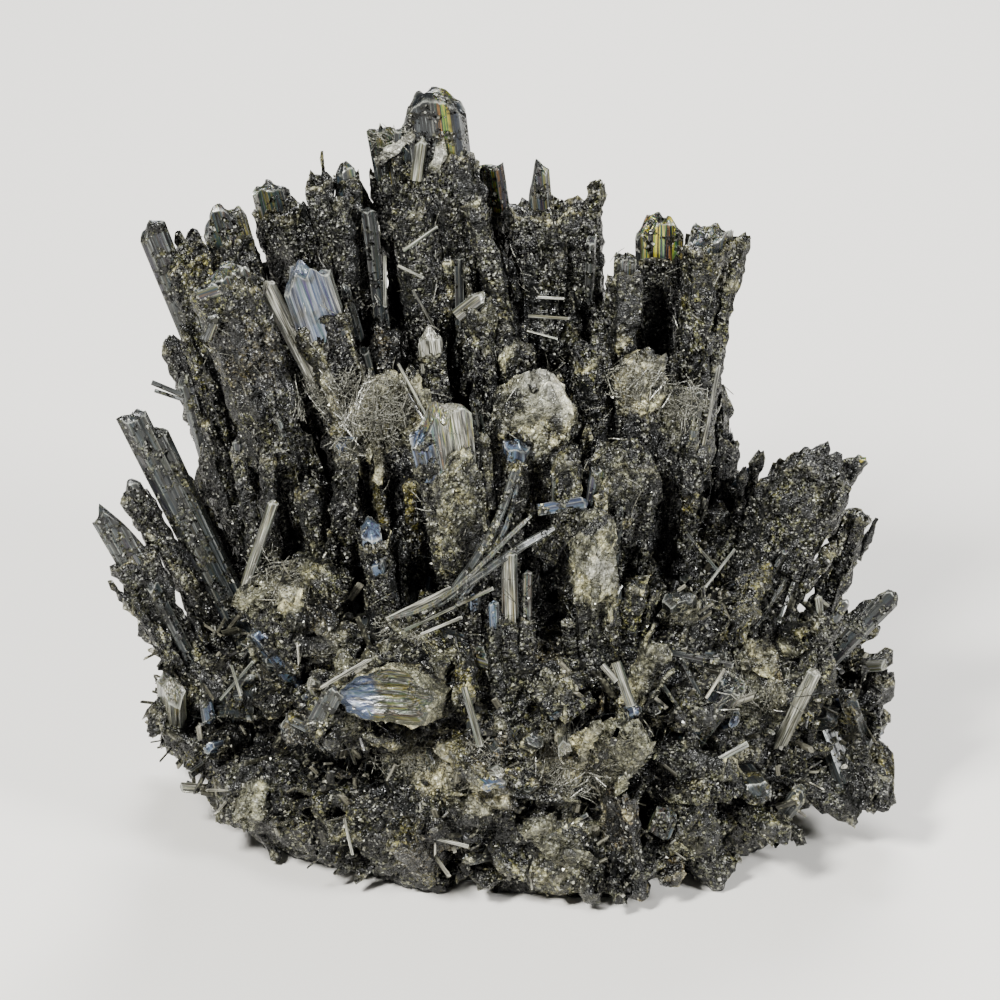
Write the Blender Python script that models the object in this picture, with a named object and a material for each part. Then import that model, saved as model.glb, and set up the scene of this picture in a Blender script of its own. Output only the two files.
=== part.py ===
"""A stibnite crystal spray: stout striated prisms, most of them crusted with druse, that fan out
of a rough root mass. The root mass is one solid. Each crystal that stands clear of its neighbours
is a solid of its own, and crystals that have grown into each other are one solid together.
The spray rests on a flat cut under the root mass, with the origin at the middle of that cut."""

import math
import random

import bmesh
import bpy
from mathutils import Matrix, Vector, noise

# ---------------------------------------------------------------- driving dimensions, millimetres
MM = 0.001
SIGHT_ANGLE = math.radians(25)  # across and rise below are sighted from this far above the horizon
BASE_RISE = 14.4  # rise of the middle of the cut base in that sight
CLEARANCE = 0.3  # left between a crystal's foot and the root mass

CRUST = 0.75  # thickness of the druse on a crystal
CORE_START = 3.0  # how far above the foot a crusted crystal's own prism begins
BODY_JITTER = 0.05  # unevenness of a crusted body, as a share of its width
FLAT_ANGLE = 3  # facets that differ by less than this many degrees are one
STOUT = 6.0  # crystals wider than this have every facet of the section
LEDGE = ((8, 120, 0.0),)  # how the druse stops below a clean tip
BARE = 100.0  # the clean length given to a crystal with no druse at all
WAIST = (-0.2, 0.4)  # where a stout body may swell or narrow, from -1 at its foot to 1 past its tip
CORNER_SLACK = 0.25  # keeps rounding from moving a corner to its neighbour's place
POCKET_WALL, POCKET_DEPTH = 1.2, 12.0  # of the crystal that is hollow at its end

# A crystal's section, as the angle and reach of each corner. Stibnite is a flattened rhombic prism
# with its edges cut off, so no two neighbouring faces are alike.
SECTION = ((10, 1.0), (48, 1.14), (92, 0.98), (138, 1.15), (186, 1.0), (228, 1.13), (273, 1.0), (319, 1.16))
SLENDER_SECTION = ((0, 1.0), (50, 1.1), (128, 1.1), (180, 1.0), (236, 1.1), (304, 1.12))

# How a crystal ends: for each face its tilt off square, its heading round the axis, and how far
# above the tip it meets the axis, as a share of the half width.
ENDINGS = {
    "square": ((7, 40, 0.0),),
    "slant": ((33, 200, 0.0), (14, 20, 0.1)),
    "chisel": ((46, 10, 0.05), (40, 188, 0.0)),
    "ragged": ((30, 35, 0.15), (38, 165, 0.0), (20, 275, 0.1)),
    "round": ((48, 0, 0.35), (46, 88, 0.4), (50, 182, 0.3), (44, 272, 0.4), (10, 130, 0.0)),
    "spear": ((70, 180, 0.0), (30, 0, 0.1)),
}

# For each solid, the crystals grown into it: foot and tip as (across, rise, back), width, depth,
# clean length at the tip, ending, turn in degrees, and width at the foot as a share.
CRYSTALS = {
    "left_outer_crystals": (
        ((-33.5, 44, 9), (-47.5, 97.5, 12), 7.4, 6.0, 0, "ragged", 10, 0.9),
        ((-41.5, 74, 11), (-52.3, 102, 12), 4.6, 2.0, BARE, "slant", 0, 0.85),
        ((-41, 72, 12), (-46.0, 99.5, 13.4), 4.6, 3.6, 0, "ragged", 40, 0.9),
        ((-38, 52, 11), (-49.6, 84.6, 14), 3.6, 3.2, 0, "round", 0, 0.9),
        ((-34.5, 42, 6), (-43.6, 70, 8), 6.8, 5.0, 0, "ragged", 40, 0.85),
        ((-38, 44, 9), (-47.4, 79.4, 10), 2.8, 2.0, BARE, "slant", 0, 0.9),
    ),
    "left_back_crystal": (((-24.6, 44, 18), (-42.2, 104.8, 20.4), 8.8, 5.4, 6, "round", 0, 0.8),),
    "left_front_crystal": (((-25.4, 45, 0), (-41.4, 95, 1), 10.0, 7.4, 2.5, "ragged", 350, 0.8),),
    "slanted_top_crystals": (
        ((-21, 44, 25), (-35, 108.6, 28), 7.2, 5.0, 4, "slant", 180, 0.85),
        ((-20, 44, 21), (-31, 106, 24), 6.4, 5.4, 0, "chisel", 30, 0.8),
    ),
    "narrow_left_crystals": (
        ((-16, 44, 13), (-27, 109.4, 16), 5.0, 4.2, 0, "ragged", 80, 0.8),
        ((-13, 44, 15), (-23.2, 110.8, 17), 4.8, 4.0, 2.5, "round", 15, 0.8),
        ((-18, 46, 10.5), (-23.6, 105, 13), 3.0, 2.6, 0, "square", 0, 0.9),
    ),
    "slender_rod": (((-13, 46, 12.4), (-19.6, 104, 14), 2.6, 2.0, BARE, "square", 30, 0.9),),
    "crest_crystals": (
        ((-1, 46, 15), (-10.3, 121.5, 19), 11.4, 8.0, 10.5, "ragged", 10, 0.9),
        ((-8, 60, 20), (-18, 117.2, 22), 6.6, 5.0, 8, "round", 330, 0.8),
        ((-5, 46, 12), (-13, 107, 15.5), 9.0, 6.0, 0, "ragged", 60, 0.9),
    ),
    "gold_tip_left": (((7.5, 52, 24.5), (-1.8, 111.4, 28), 6.5, 5.0, 7, "square", 340, 0.85),),
    "leaning_column": (((11, 50, 9), (-4.2, 105.3, 11), 3.8, 3.4, 0, "ragged", 0, 0.9),),
    "capped_block": (
        ((12.5, 46, 15), (8.0, 104.3, 18.5), 15.0, 8.0, 0, "square", 355, 0.9),
        ((7.5, 90, 18), (5.4, 111, 19.5), 5.4, 3.6, 7.5, "spear", 5, 0.9),
        ((10.6, 94, 18.5), (14.8, 107.6, 19), 3.6, 3.2, 0, "round", 0, 0.9),
    ),
    "dark_topped_crystal": (((17.5, 47, 5.6), (18.6, 97.6, 8), 5.2, 4.4, 3.4, "round", 20, 0.9),),
    "gold_tip_right": (((24.4, 44, 17), (24, 103.2, 19), 9.2, 6.4, 6.5, "round", 10, 0.8),),
    "right_tall_crystal": (((26.5, 44, 9), (31.4, 101.4, 13), 9.6, 7.0, 2.6, "ragged", 60, 0.75),),
    "right_spikes": (
        ((27, 50, -4), (32.4, 80.7, -3.5), 1.9, 1.6, BARE, "spear", 0, 0.9),
        ((27, 50, -4), (29.4, 77, -4), 2.8, 1.8, BARE, "chisel", 0, 0.9),
    ),
    "right_knob_crystals": (
        ((31.5, 38, 18), (32.4, 78, 22), 6.0, 5.0, 0, "round", 0, 0.9),
        ((31, 36, 15), (33.6, 71, 19), 6.6, 5.4, 0, "round", 30, 0.9),
    ),
    "right_step_crystal": (((31, 44, 10), (37.6, 64.8, 11), 6.4, 5.0, 2, "round", 10, 0.8),),
    "right_leaning_crystals": (
        ((34, 36, 1), (49.0, 67.5, 1), 12.0, 8.8, 0, "round", 350, 0.85),
        ((45, 58, 3), (55.0, 67.2, 3.5), 3.6, 2.8, 2, "slant", 0, 0.9),
        ((36, 44, 3), (42.6, 64.6, 4), 7.6, 6.0, 0, "chisel", 20, 0.85),
    ),
    "right_edge_crystal": (((44, 30, 10), (54.6, 59, 13), 5.6, 4.4, 0, "ragged", 0, 0.85),),
    "right_edge_blade": (((47, 34, -9), (59.2, 47, -9), 3.4, 1.8, BARE, "round", 0, 0.8),),
    "broken_blue_crystal": (
        ((-13.5, 47, 4), (-29.4, 95.4, 4.4), 9.4, 5.6, 9, "ragged", 120, 0.85),
        ((-25.4, 74, 4.6), (-34.6, 92.6, 5), 2.6, 2.2, BARE, "slant", 0, 0.9),
    ),
    "matted_stub": (((-12, 46, -3.4), (-16.6, 78.5, -3.2), 13.0, 4.2, 0, "round", 0, 0.8),),
    "small_block": (((-12.5, 50, 8.6), (-17.0, 85.5, 9.2), 5.2, 3.6, 0, "square", 0, 0.9),),
    "striated_stub": (((-6.5, 48, 3), (-10.6, 86, 5), 5.4, 4.6, 3.5, "ragged", 15, 0.8),),
    "pale_capped_crystals": (
        ((0.5, 48, 3.4), (-3.2, 90.5, 6), 7.0, 4.6, 0, "slant", 250, 0.85),
        ((4.6, 50, 4), (2.0, 84.5, 5.5), 6.0, 4.4, 0, "ragged", 200, 0.9),
    ),
    "jumbled_crystals": (
        ((17, 47, 0), (13.2, 84, 1), 6.4, 5.0, 0, "chisel", 60, 0.8),
        ((20.5, 44, 0), (20.6, 82.4, 0), 8.6, 5.6, 0, "ragged", 20, 0.85),
        ((25, 44, 1), (26.6, 77.4, 1.5), 7.6, 5.4, 0, "round", 80, 0.85),
    ),
    "white_topped_crystals": (
        ((4, 44, -5), (5, 78.4, -7), 13.0, 8.8, 0, "round", 0, 0.85),
        ((1, 44, -9), (2.4, 69, -11.4), 5.6, 5.0, 2, "square", 0, 0.9),
    ),
    "rough_stubs": (
        ((15.5, 43, -9), (18.6, 68.4, -11), 11.4, 8.0, 0, "round", 20, 0.85),
        ((11, 44, -13), (9.6, 67.6, -14), 5.4, 4.4, 0, "ragged", 0, 0.85),
    ),
    "front_broken_crystal": (((-4.0, 42, -14.5), (-9.2, 73.6, -17), 12.0, 7.0, 7, "ragged", 20, 0.5),),
    "front_column": (
        ((14.6, 33, -19), (13.8, 58.4, -22), 7.6, 6.6, 0, "round", 0, 1.0),
        ((17.4, 33, -18), (20.0, 49.0, -20), 5.0, 4.6, 0, "ragged", 0, 1.0),
    ),
    "front_blades": (
        ((1.8, 30, -24), (1.3, 53, -24), 3.4, 2.8, BARE, "slant", 0, 1.0),
        ((3.8, 30, -23.6), (4.0, 50.5, -24), 3.0, 2.6, BARE, "ragged", 0, 1.0),
        ((-0.2, 30, -24), (-1.0, 46, -24), 3.0, 2.4, BARE, "square", 0, 1.0),
    ),
    "small_front_crystal": (((-3.6, 32, -21), (-3.8, 47, -22), 3.6, 3.0, 3, "chisel", 0, 0.9),),
    "hollow_crystal": (((-12.8, 42, -7.6), (-16.2, 66.6, -7.8), 7.0, 5.0, 0, "square", 0, 0.85),),
    "slender_left_crystals": (
        ((-23.6, 41, -8), (-22.8, 69.8, -9), 4.2, 3.6, 2.5, "slant", 0, 0.85),
        ((-25.4, 42, -7.6), (-28.6, 63.0, -8), 4.2, 3.4, 0, "ragged", 0, 0.9),
    ),
    "ledge_crystals": (
        ((-16, 38, -14), (-19.2, 56.8, -17), 6.6, 4.8, 2, "slant", 90, 0.85),
        ((-15, 36, -17), (-18.3, 51.8, -19.6), 4.2, 3.8, 2, "square", 0, 0.9),
    ),
    "bright_bar": (((-35.2, 46, -11), (-33.5, 60.2, -10), 1.8, 1.4, BARE, "square", 0, 1.0),),
    "thin_left_branches": (
        ((-34.6, 41, -6), (-39.2, 69.8, -6), 2.8, 2.4, 2, "ragged", 0, 0.9),
        ((-33.9, 41, -6.2), (-34.6, 68, -6.2), 3.2, 2.8, 0, "chisel", 0, 0.9),
    ),
    "far_left_crystals": (
        ((-38, 38, -2), (-54.8, 73.2, -1), 4.6, 3.6, BARE, "square", 15, 0.9),
        ((-36.5, 38, -1), (-51.4, 70.8, 0), 3.8, 3.2, BARE, "slant", 0, 0.9),
        ((-41, 38, -3), (-55.4, 63.8, -3), 4.2, 3.6, 3.5, "round", 0, 0.9),
    ),
    "far_left_wedge": (((-43, 30, -8), (-59, 59.4, -8), 6.6, 3.4, BARE, "spear", 180, 0.9),),
    "broken_face_crystal": (((-8, 34, -14), (-16.5, 31.8, -34.5), 16.0, 8.0, 0, "ragged", 100, 0.85),),
    "fibrous_blade": (((14.5, 21, -22), (23.6, 39.4, -28), 4.2, 3.4, 3, "round", 0, 0.9),),
    "fibrous_slab": (((13, 18, -26), (19.4, 27.4, -37), 8.6, 3.6, 0, "ragged", 0, 0.9),),
    "dark_prism": (((26.5, 22, -20), (34.4, 33.6, -27), 4.4, 3.6, BARE, "square", 20, 0.9),),
    "crossed_blades": (
        ((44, 33, -15), (51.2, 45.8, -18.4), 2.8, 2.3, BARE, "slant", 0, 1.0),
        ((49.4, 32, -15), (47.0, 46.4, -18), 2.4, 1.9, BARE, "square", 0, 1.0),
    ),
    "white_bar": (((41.5, 23, -16), (46.6, 35.6, -23), 2.2, 1.6, BARE, "ragged", 0, 1.0),),
    "rear_left_crystals": (
        ((-26, 42, 30), (-37, 80, 37), 8.4, 6.0, 0, "chisel", 0, 0.9),
        ((-30, 38, 28), (-46, 66, 33), 7.0, 5.6, 0, "ragged", 0, 0.9),
    ),
    "rear_inner_left_crystal": (((-13, 44, 29), (-20, 92, 36), 10.0, 6.0, 6, "ragged", 40, 0.8),),
    "rear_middle_crystals": (
        ((-2, 44, 30), (-6, 95, 36.5), 9.6, 6.4, 5, "round", 0, 0.8),
        ((1, 44, 31), (1.4, 82, 37), 6.6, 5.6, 0, "slant", 0, 0.85),
    ),
    "rear_right_crystals": (
        ((13, 44, 26), (15.6, 88, 35), 9.6, 6.4, 0, "chisel", 30, 0.8),
        ((18, 40, 25), (22, 72, 34), 7.0, 5.6, 0, "ragged", 0, 0.9),
    ),
    "rear_outer_right_crystals": (
        ((30, 38, 24), (40, 60, 31), 7.2, 5.4, 0, "ragged", 0, 0.85),
        ((34, 34, 21), (46, 54, 26), 7.4, 5.6, 0, "square", 0, 0.9),
    ),
    "rear_low_crystals": (
        ((-15, 26, 20), (-19, 48, 38), 7.0, 5.4, 0, "slant", 0, 0.9),
        ((-11, 26, 20), (-13, 43, 38), 6.4, 5.0, 0, "ragged", 0, 0.9),
    ),
    "rear_low_right_crystal": (((8, 30, 20), (11, 53, 38), 8.0, 5.6, 0, "ragged", 0, 0.85),),
}

# The root mass: rough lumps grown into one, and the pits in it. Each has its middle as
# (across, rise, back), its half sizes (x, y, z) and how far its surface wanders in and out.
FINE, COARSE = 3, 2  # how often the facets of a ball are halved
FIRST_WAVE = 1.9  # how often a surface wanders round a lump
WAVES = ((1.0, 1.0), (2.7, 0.6), (5.9, 0.4))  # how much finer each wave is, and its share
WAVE_REACH = 1.5  # from the noise, which seldom reaches 1, to the distance a lump wanders
SEED_STEP = Vector((3.7, 1.3, 2.9))  # from one lump's place in the noise to the next one's
LUMP_SEED, PIT_SEED = 2, 40
MAIN_LUMP = ((3, 27.0, 0), (48.5, 34, 27), 3.6)
LUMPS = (
    ((2, 47, 9), (40, 20, 20), 3.4),
    ((-30, 43.5, -12), (8, 7, 8.5), 1.8),
    ((-12, 36, -23), (9, 6.5, 6.5), 1.8),
    ((-44, 34, -7), (7, 6.5, 7), 1.8),
    ((-41, 24, -11), (7.5, 6.5, 5), 1.6),
    ((-30, 18, -19), (9.5, 6, 4.2), 1.6),
    ((-13, 9, -25), (8, 6, 6), 1.8),
    ((-1, 21.5, -30), (6, 6, 8.5), 1.8),
    ((12, 7.5, -29), (11, 6, 6.5), 1.8),
    ((24, 13.5, -25), (9, 7, 7), 1.8),
    ((37, 18.5, -15), (9, 7, 6.5), 1.8),
    ((51, 27, -4), (6.5, 7.5, 5), 1.6),
    ((44, 33, -11), (7.5, 6, 5.5), 1.6),
    ((50, 38, 3), (5.5, 6, 7), 1.6),
    ((38, 41, -8), (7.5, 6, 6), 1.6),
    ((26, 42, -11), (8.5, 5.5, 5.5), 1.6),
    ((9, 33, -24), (6, 5, 5), 1.4),
    ((-24, 29, -27), (6, 5, 5.5), 1.4),
    ((-47, 27, 8), (6.5, 8, 7), 1.8),
    ((-28, 30, 24), (10, 7, 8), 1.8),
    ((2, 31, 30), (11, 6, 7.5), 1.8),
    ((30, 30, 22), (10, 7, 7), 1.8),
    ((46, 33, 14), (7, 7, 8), 1.8),
)
PITS = (
    ((3, 22.5, -38), (4, 6, 5), 1.0),
    ((32, 26.5, -28), (6.5, 7, 4.5), 1.2),
    ((-32, 31, -26), (5, 6, 4), 1.0),
    ((-4.5, 3.5, -33), (4.5, 9, 7), 1.0),
    ((41, 26, -24), (4, 4.5, 3), 0.8),
    ((-9, 45, -22), (6, 5, 6.5), 1.0),
    ((-10, 24, 38), (6, 6, 5), 1.0),
    ((20, 26, 36), (5, 6, 5), 1.0),
)
SAW_SIZE = 200.0

# Crystals broken off short, which are one with the root mass. In the form of the crystals above.
STUBS = (
    ((-20, 28, -22), (-26, 27.5, -33), 6.4, 5.0, 0, "square", 0, 0.9),
    ((25, 30, -20), (30, 31, -31), 6.0, 4.0, 0, "slant", 0, 0.9),
    ((34, 15, -12), (42, 12.5, -24), 7.0, 5.0, 0, "ragged", 0, 0.9),
    ((-33, 17, -12), (-41.5, 15.5, -20), 6.6, 5.4, 0, "square", 0, 0.9),
    ((-42, 26, -8), (-51, 26, -12), 6.0, 5.0, 0, "square", 20, 0.9),
    ((-43, 36, 2), (-52.5, 40, 0), 6.4, 5.4, 0, "ragged", 0, 0.9),
    ((15, 9, -26), (20, 3.5, -37), 8.0, 5.4, 0, "slant", 30, 0.9),
    ((-8, 14, -24), (-10, 12, -36), 6.6, 5.0, 0, "ragged", 0, 0.9),
    ((-20, 13, -20), (-27, 8.5, -29), 7.0, 5.4, 0, "chisel", 0, 0.9),
    ((26, 10, -20), (34, 5, -29), 7.4, 5.6, 0, "ragged", 50, 0.9),
    ((46, 32, -2), (57, 34, -5), 6.6, 5.4, 0, "round", 0, 0.9),
    ((43, 24, -6), (54, 20.5, -11), 6.8, 5.4, 0, "ragged", 0, 0.9),
    ((-32, 24, 16), (-43, 28, 26), 7.4, 6.0, 0, "chisel", 0, 0.9),
    ((30, 26, 16), (41, 29, 28), 7.4, 5.8, 0, "ragged", 0, 0.9),
    ((22, 18, 24), (26, 18, 37), 7.0, 5.4, 0, "square", 0, 0.9),
    ((-20, 20, 24), (-27, 20, 35.5), 6.6, 5.4, 0, "slant", 0, 0.9),
)


# ---------------------------------------------------------------- small helpers
def spot(across, rise, back):
    """A point of the standing spray, in millimetres, from its place in the sight."""
    height = (rise - BASE_RISE - back * math.sin(SIGHT_ANGLE)) / math.cos(SIGHT_ANGLE)
    return Vector((across, back, height))


def mesh_object(name, bm, collection):
    """A mesh object from a closed mesh in millimetres."""
    bmesh.ops.recalc_face_normals(bm, faces=bm.faces)
    bm.transform(Matrix.Scale(MM, 4))
    mesh = bpy.data.meshes.new(name)
    bm.to_mesh(mesh)
    bm.free()
    obj = bpy.data.objects.new(name, mesh)
    collection.objects.link(obj)
    return obj


def boolean(obj, helper, operation):
    """Joins a helper to an object or cuts it away. The helper itself is not part of the spray."""
    helper.hide_render = True
    helper.display_type = "WIRE"
    modifier = obj.modifiers.new(f"{operation.lower()} {helper.name}", "BOOLEAN")
    modifier.operation = operation
    modifier.object = helper
    modifier.solver = "EXACT"


def merge_flat(obj):
    """Makes one facet of neighbouring ones that lie almost in a plane."""
    modifier = obj.modifiers.new("merge flat facets", "DECIMATE")
    modifier.decimate_type = "DISSOLVE"
    modifier.angle_limit = math.radians(FLAT_ANGLE)


def stone(name, colour, roughness, metallic):
    material = bpy.data.materials.new(name)
    material.use_nodes = True
    shader = material.node_tree.nodes["Principled BSDF"]
    shader.inputs["Base Color"].default_value = (*colour, 1)
    shader.inputs["Roughness"].default_value = roughness
    shader.inputs["Metallic"].default_value = metallic
    return material


# ---------------------------------------------------------------- crystals
def cut_along(bm, point, normal):
    """Cuts off what lies beyond a plane and closes the cut."""
    cut = bmesh.ops.bisect_plane(
        bm,
        geom=[*bm.verts, *bm.edges, *bm.faces],
        dist=1e-5,
        plane_co=point,
        plane_no=normal,
        clear_outer=True,
    )
    rim = [item for item in cut["geom_cut"] if isinstance(item, bmesh.types.BMEdge)]
    if rim:
        bmesh.ops.edgeloop_fill(bm, edges=rim)


def prism(width, depth, start, length, faces, foot_share, uneven, chance):
    """A prism along +Z from start to length, narrower at its foot, ended by the given faces."""
    section = SECTION if width > STOUT else SLENDER_SECTION
    bm = bmesh.new()
    bmesh.ops.create_cone(bm, cap_ends=True, segments=len(section), radius1=1, radius2=1, depth=2)
    if uneven and width > STOUT:
        waist = (0, 0, chance.uniform(*WAIST))
        bmesh.ops.bisect_plane(bm, geom=[*bm.verts, *bm.edges, *bm.faces], plane_co=waist, plane_no=(0, 0, 1))
    end = length + width
    for vert in bm.verts:
        round_axis = math.atan2(vert.co.y, vert.co.x) / math.tau * len(section)
        angle, reach = section[math.floor(round_axis + CORNER_SLACK) % len(section)]
        along = (vert.co.z + 1) / 2
        height = start + (end - start) * along
        reach *= foot_share + (1 - foot_share) * height / length
        if 0 < along < 1:
            reach *= 1 + chance.uniform(-BODY_JITTER, BODY_JITTER)
        turn = math.radians(angle)
        vert.co = (math.cos(turn) * width / 2 * reach, math.sin(turn) * depth / 2 * reach, height)
    if uneven and width > STOUT:
        bmesh.ops.triangulate(bm, faces=bm.faces)
    for tilt, heading, lift in faces:
        tilt, heading = math.radians(tilt), math.radians(heading)
        across = math.sin(tilt)
        normal = Vector((math.cos(heading) * across, math.sin(heading) * across, math.cos(tilt)))
        cut_along(bm, (0, 0, length + lift * width / 2), normal)
    return bm


def stand(obj, foot, tip, turn):
    """Stands a crystal's +Z along foot to tip, with its width across the sight."""
    axis = (tip - foot).normalized()
    toward = Vector((0, -math.cos(SIGHT_ANGLE), math.sin(SIGHT_ANGLE)))
    side = axis.cross(toward).normalized()
    placed = Matrix((side, axis.cross(side), axis)).transposed().to_4x4()
    placed.translation = foot * MM
    obj.matrix_world = placed @ Matrix.Rotation(math.radians(turn), 4, "Z")


def crystal_solids(name, row, helpers, chance):
    """A crystal's prisms: one from foot to tip, or a druse body and the clean core that passes it."""
    foot, tip, width, depth, clean, ending, turn, foot_share = row
    foot, tip = spot(*foot), spot(*tip)
    length = (tip - foot).length
    if clean in (0, BARE):
        solids = [prism(width, depth, 0, length, ENDINGS[ending], foot_share, clean == 0, chance)]
    else:
        core_width, core_depth = width - 2 * CRUST, depth - 2 * CRUST
        solids = [
            prism(width, depth, 0, length - clean, LEDGE, foot_share, True, chance),
            prism(core_width, core_depth, CORE_START, length, ENDINGS[ending], foot_share, False, chance),
        ]
    objects = [mesh_object(f"{name} {step}", bm, helpers) for step, bm in enumerate(solids)]
    for obj in objects:
        stand(obj, foot, tip, turn)
    return objects


def hollow_pocket(row, helpers):
    """The pocket in the end of a crystal that grew faster at its edges than at its middle."""
    foot, tip, width, depth, _, _, turn, _ = row
    foot, tip = spot(*foot), spot(*tip)
    length = (tip - foot).length
    wide, deep = width - 2 * POCKET_WALL, depth - 2 * POCKET_WALL
    bm = prism(wide, deep, length - POCKET_DEPTH, length + width, (), 1, False, random.Random(0))
    pocket = mesh_object("hollow pocket", bm, helpers)
    stand(pocket, foot, tip, turn)
    return pocket


def build_crystals(name, rows, shell, spray, helpers):
    """One solid of crystals grown into each other, or of one crystal standing alone."""
    chance = random.Random(name)
    pieces = []
    for number, row in enumerate(rows):
        pieces += crystal_solids(f"{name} {number}", row, helpers, chance)
    first, *others = pieces
    first.name = name
    helpers.objects.unlink(first)
    spray.objects.link(first)
    for other in others:
        boolean(first, other, "UNION")
    boolean(first, shell, "DIFFERENCE")
    return first


# ---------------------------------------------------------------- root mass
def rock(name, lump, outward, cuts, seed, helpers):
    """A rough stone: a faceted ball, scaled, with its surface wandering in and out."""
    middle, half, wander = lump
    bm = bmesh.new()
    bmesh.ops.create_icosphere(bm, subdivisions=cuts, radius=1)
    for vert in bm.verts:
        way = vert.co.normalized()
        place = way * FIRST_WAVE + SEED_STEP * seed
        rough = sum(share * noise.noise(place * finer) for finer, share in WAVES)
        surface = Vector(way[axis] * half[axis] for axis in range(3))
        vert.co = spot(*middle) + surface * (1 + rough * wander / max(half) * WAVE_REACH) + way * outward
    return mesh_object(name, bm, helpers)


def build_root(name, outward, helpers):
    """The root mass, with every wall of it moved out by a distance."""
    root = rock(name, MAIN_LUMP, outward, FINE, 1, helpers)
    for number, lump in enumerate(LUMPS):
        cuts = COARSE if number else FINE
        added = rock(f"{name} lump {number}", lump, outward, cuts, number + LUMP_SEED, helpers)
        boolean(root, added, "UNION")
    for number, pit in enumerate(PITS):
        taken = rock(f"{name} pit {number}", pit, -outward, COARSE, number + PIT_SEED, helpers)
        boolean(root, taken, "DIFFERENCE")
    for number, stub in enumerate(STUBS):
        for piece in crystal_solids(f"{name} stub {number}", stub, helpers, random.Random(number)):
            boolean(root, piece, "UNION")
    bm = bmesh.new()
    bmesh.ops.create_cube(bm, size=SAW_SIZE)
    bmesh.ops.translate(bm, verts=bm.verts, vec=(0, 0, -SAW_SIZE / 2))
    boolean(root, mesh_object(f"{name} saw", bm, helpers), "DIFFERENCE")
    return root


def main():
    for obj in list(bpy.data.objects):
        bpy.data.objects.remove(obj)
    spray = bpy.data.collections.new("stibnite_crystal_spray")
    helpers = bpy.data.collections.new("helpers")
    for collection in (spray, helpers):
        bpy.context.scene.collection.children.link(collection)

    crusted = stone("druse crust", (0.075, 0.072, 0.06), 0.6, 0.25)
    striated = stone("striated stibnite", (0.11, 0.12, 0.13), 0.3, 0.85)
    rough = stone("root rock", (0.06, 0.057, 0.048), 0.8, 0.1)

    root = build_root("root_mass", 0, helpers)
    root.data.materials.append(rough)
    merge_flat(root)
    helpers.objects.unlink(root)
    spray.objects.link(root)
    shell = build_root("root clearance", CLEARANCE, helpers)
    for name, rows in CRYSTALS.items():
        solid = build_crystals(name, rows, shell, spray, helpers)
        bare = rows[0][4] == BARE
        solid.data.materials.append(striated if bare else crusted)
        if name == "hollow_crystal":
            boolean(solid, hollow_pocket(rows[0], helpers), "DIFFERENCE")
        merge_flat(solid)


main()
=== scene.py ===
import itertools
import math
import random

import bmesh
import bpy
import numpy as np
from mathutils import Matrix, Vector, noise
from mathutils.bvhtree import BVHTree


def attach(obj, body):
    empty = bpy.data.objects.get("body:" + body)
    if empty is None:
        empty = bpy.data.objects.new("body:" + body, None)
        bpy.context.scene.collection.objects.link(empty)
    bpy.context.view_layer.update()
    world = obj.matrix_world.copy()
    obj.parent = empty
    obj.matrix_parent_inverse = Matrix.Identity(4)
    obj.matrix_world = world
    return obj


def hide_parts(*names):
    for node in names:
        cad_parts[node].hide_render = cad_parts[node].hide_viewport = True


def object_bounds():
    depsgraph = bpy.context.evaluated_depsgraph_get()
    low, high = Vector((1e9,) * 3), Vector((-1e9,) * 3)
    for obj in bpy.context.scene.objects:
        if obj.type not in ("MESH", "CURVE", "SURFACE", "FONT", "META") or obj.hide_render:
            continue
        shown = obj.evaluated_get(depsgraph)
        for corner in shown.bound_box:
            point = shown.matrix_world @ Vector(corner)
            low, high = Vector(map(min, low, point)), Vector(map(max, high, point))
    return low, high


# The stibnite spray: dark striated prisms under a coat of druse grains, on a root of broken crystals.
# Tables are in millimetres, meshes in metres.

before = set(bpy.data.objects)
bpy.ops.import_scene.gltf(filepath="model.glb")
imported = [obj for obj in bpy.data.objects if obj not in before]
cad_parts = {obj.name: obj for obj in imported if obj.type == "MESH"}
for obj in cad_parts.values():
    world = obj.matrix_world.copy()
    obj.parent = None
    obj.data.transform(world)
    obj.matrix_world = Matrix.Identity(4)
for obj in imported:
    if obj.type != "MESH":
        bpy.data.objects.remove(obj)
frameBox = [list(corner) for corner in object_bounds()]
boxLow, boxHigh = (np.array(corner) for corner in frameBox)
print("frame loaded, box", frameBox)

mm = 0.001
sightAngle = math.radians(25)  # the tables' across and rise are sighted from this far above the horizon
baseRise = 14.4  # rise of the middle of the cut base in that sight
bare = 100.0  # the clean length given to a crystal with no druse at all
crust = 0.75  # thickness of the druse round a crystal
coreStart = 3.0  # how far a clean tip reaches back into its druse

section = ((10, 1.0), (48, 1.14), (92, 0.98), (138, 1.15), (186, 1.0), (228, 1.13), (273, 1.0), (319, 1.16))
slenderSection = ((0, 1.0), (50, 1.1), (128, 1.1), (180, 1.0), (236, 1.1), (304, 1.12))
stout = 6.0  # crystals wider than this have every facet of the section

# for each face of an ending: tilt off square, heading round the axis, lift as a share of the half width
endings = {
    "square": ((7, 40, 0.0),),
    "slant": ((33, 200, 0.0), (14, 20, 0.1)),
    "cleaved": ((27, 15, 0.0), (60, 195, 0.75), (20, 280, 0.12)),
    "chisel": ((46, 10, 0.05), (40, 188, 0.0)),
    "ragged": ((30, 35, 0.15), (38, 165, 0.0), (20, 275, 0.1)),
    "round": ((48, 0, 0.35), (46, 88, 0.4), (50, 182, 0.3), (44, 272, 0.4), (10, 130, 0.0)),
    "spear": ((70, 180, 0.0), (30, 0, 0.1)),
}
ledge = ((8, 120, 0.0),)

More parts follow.
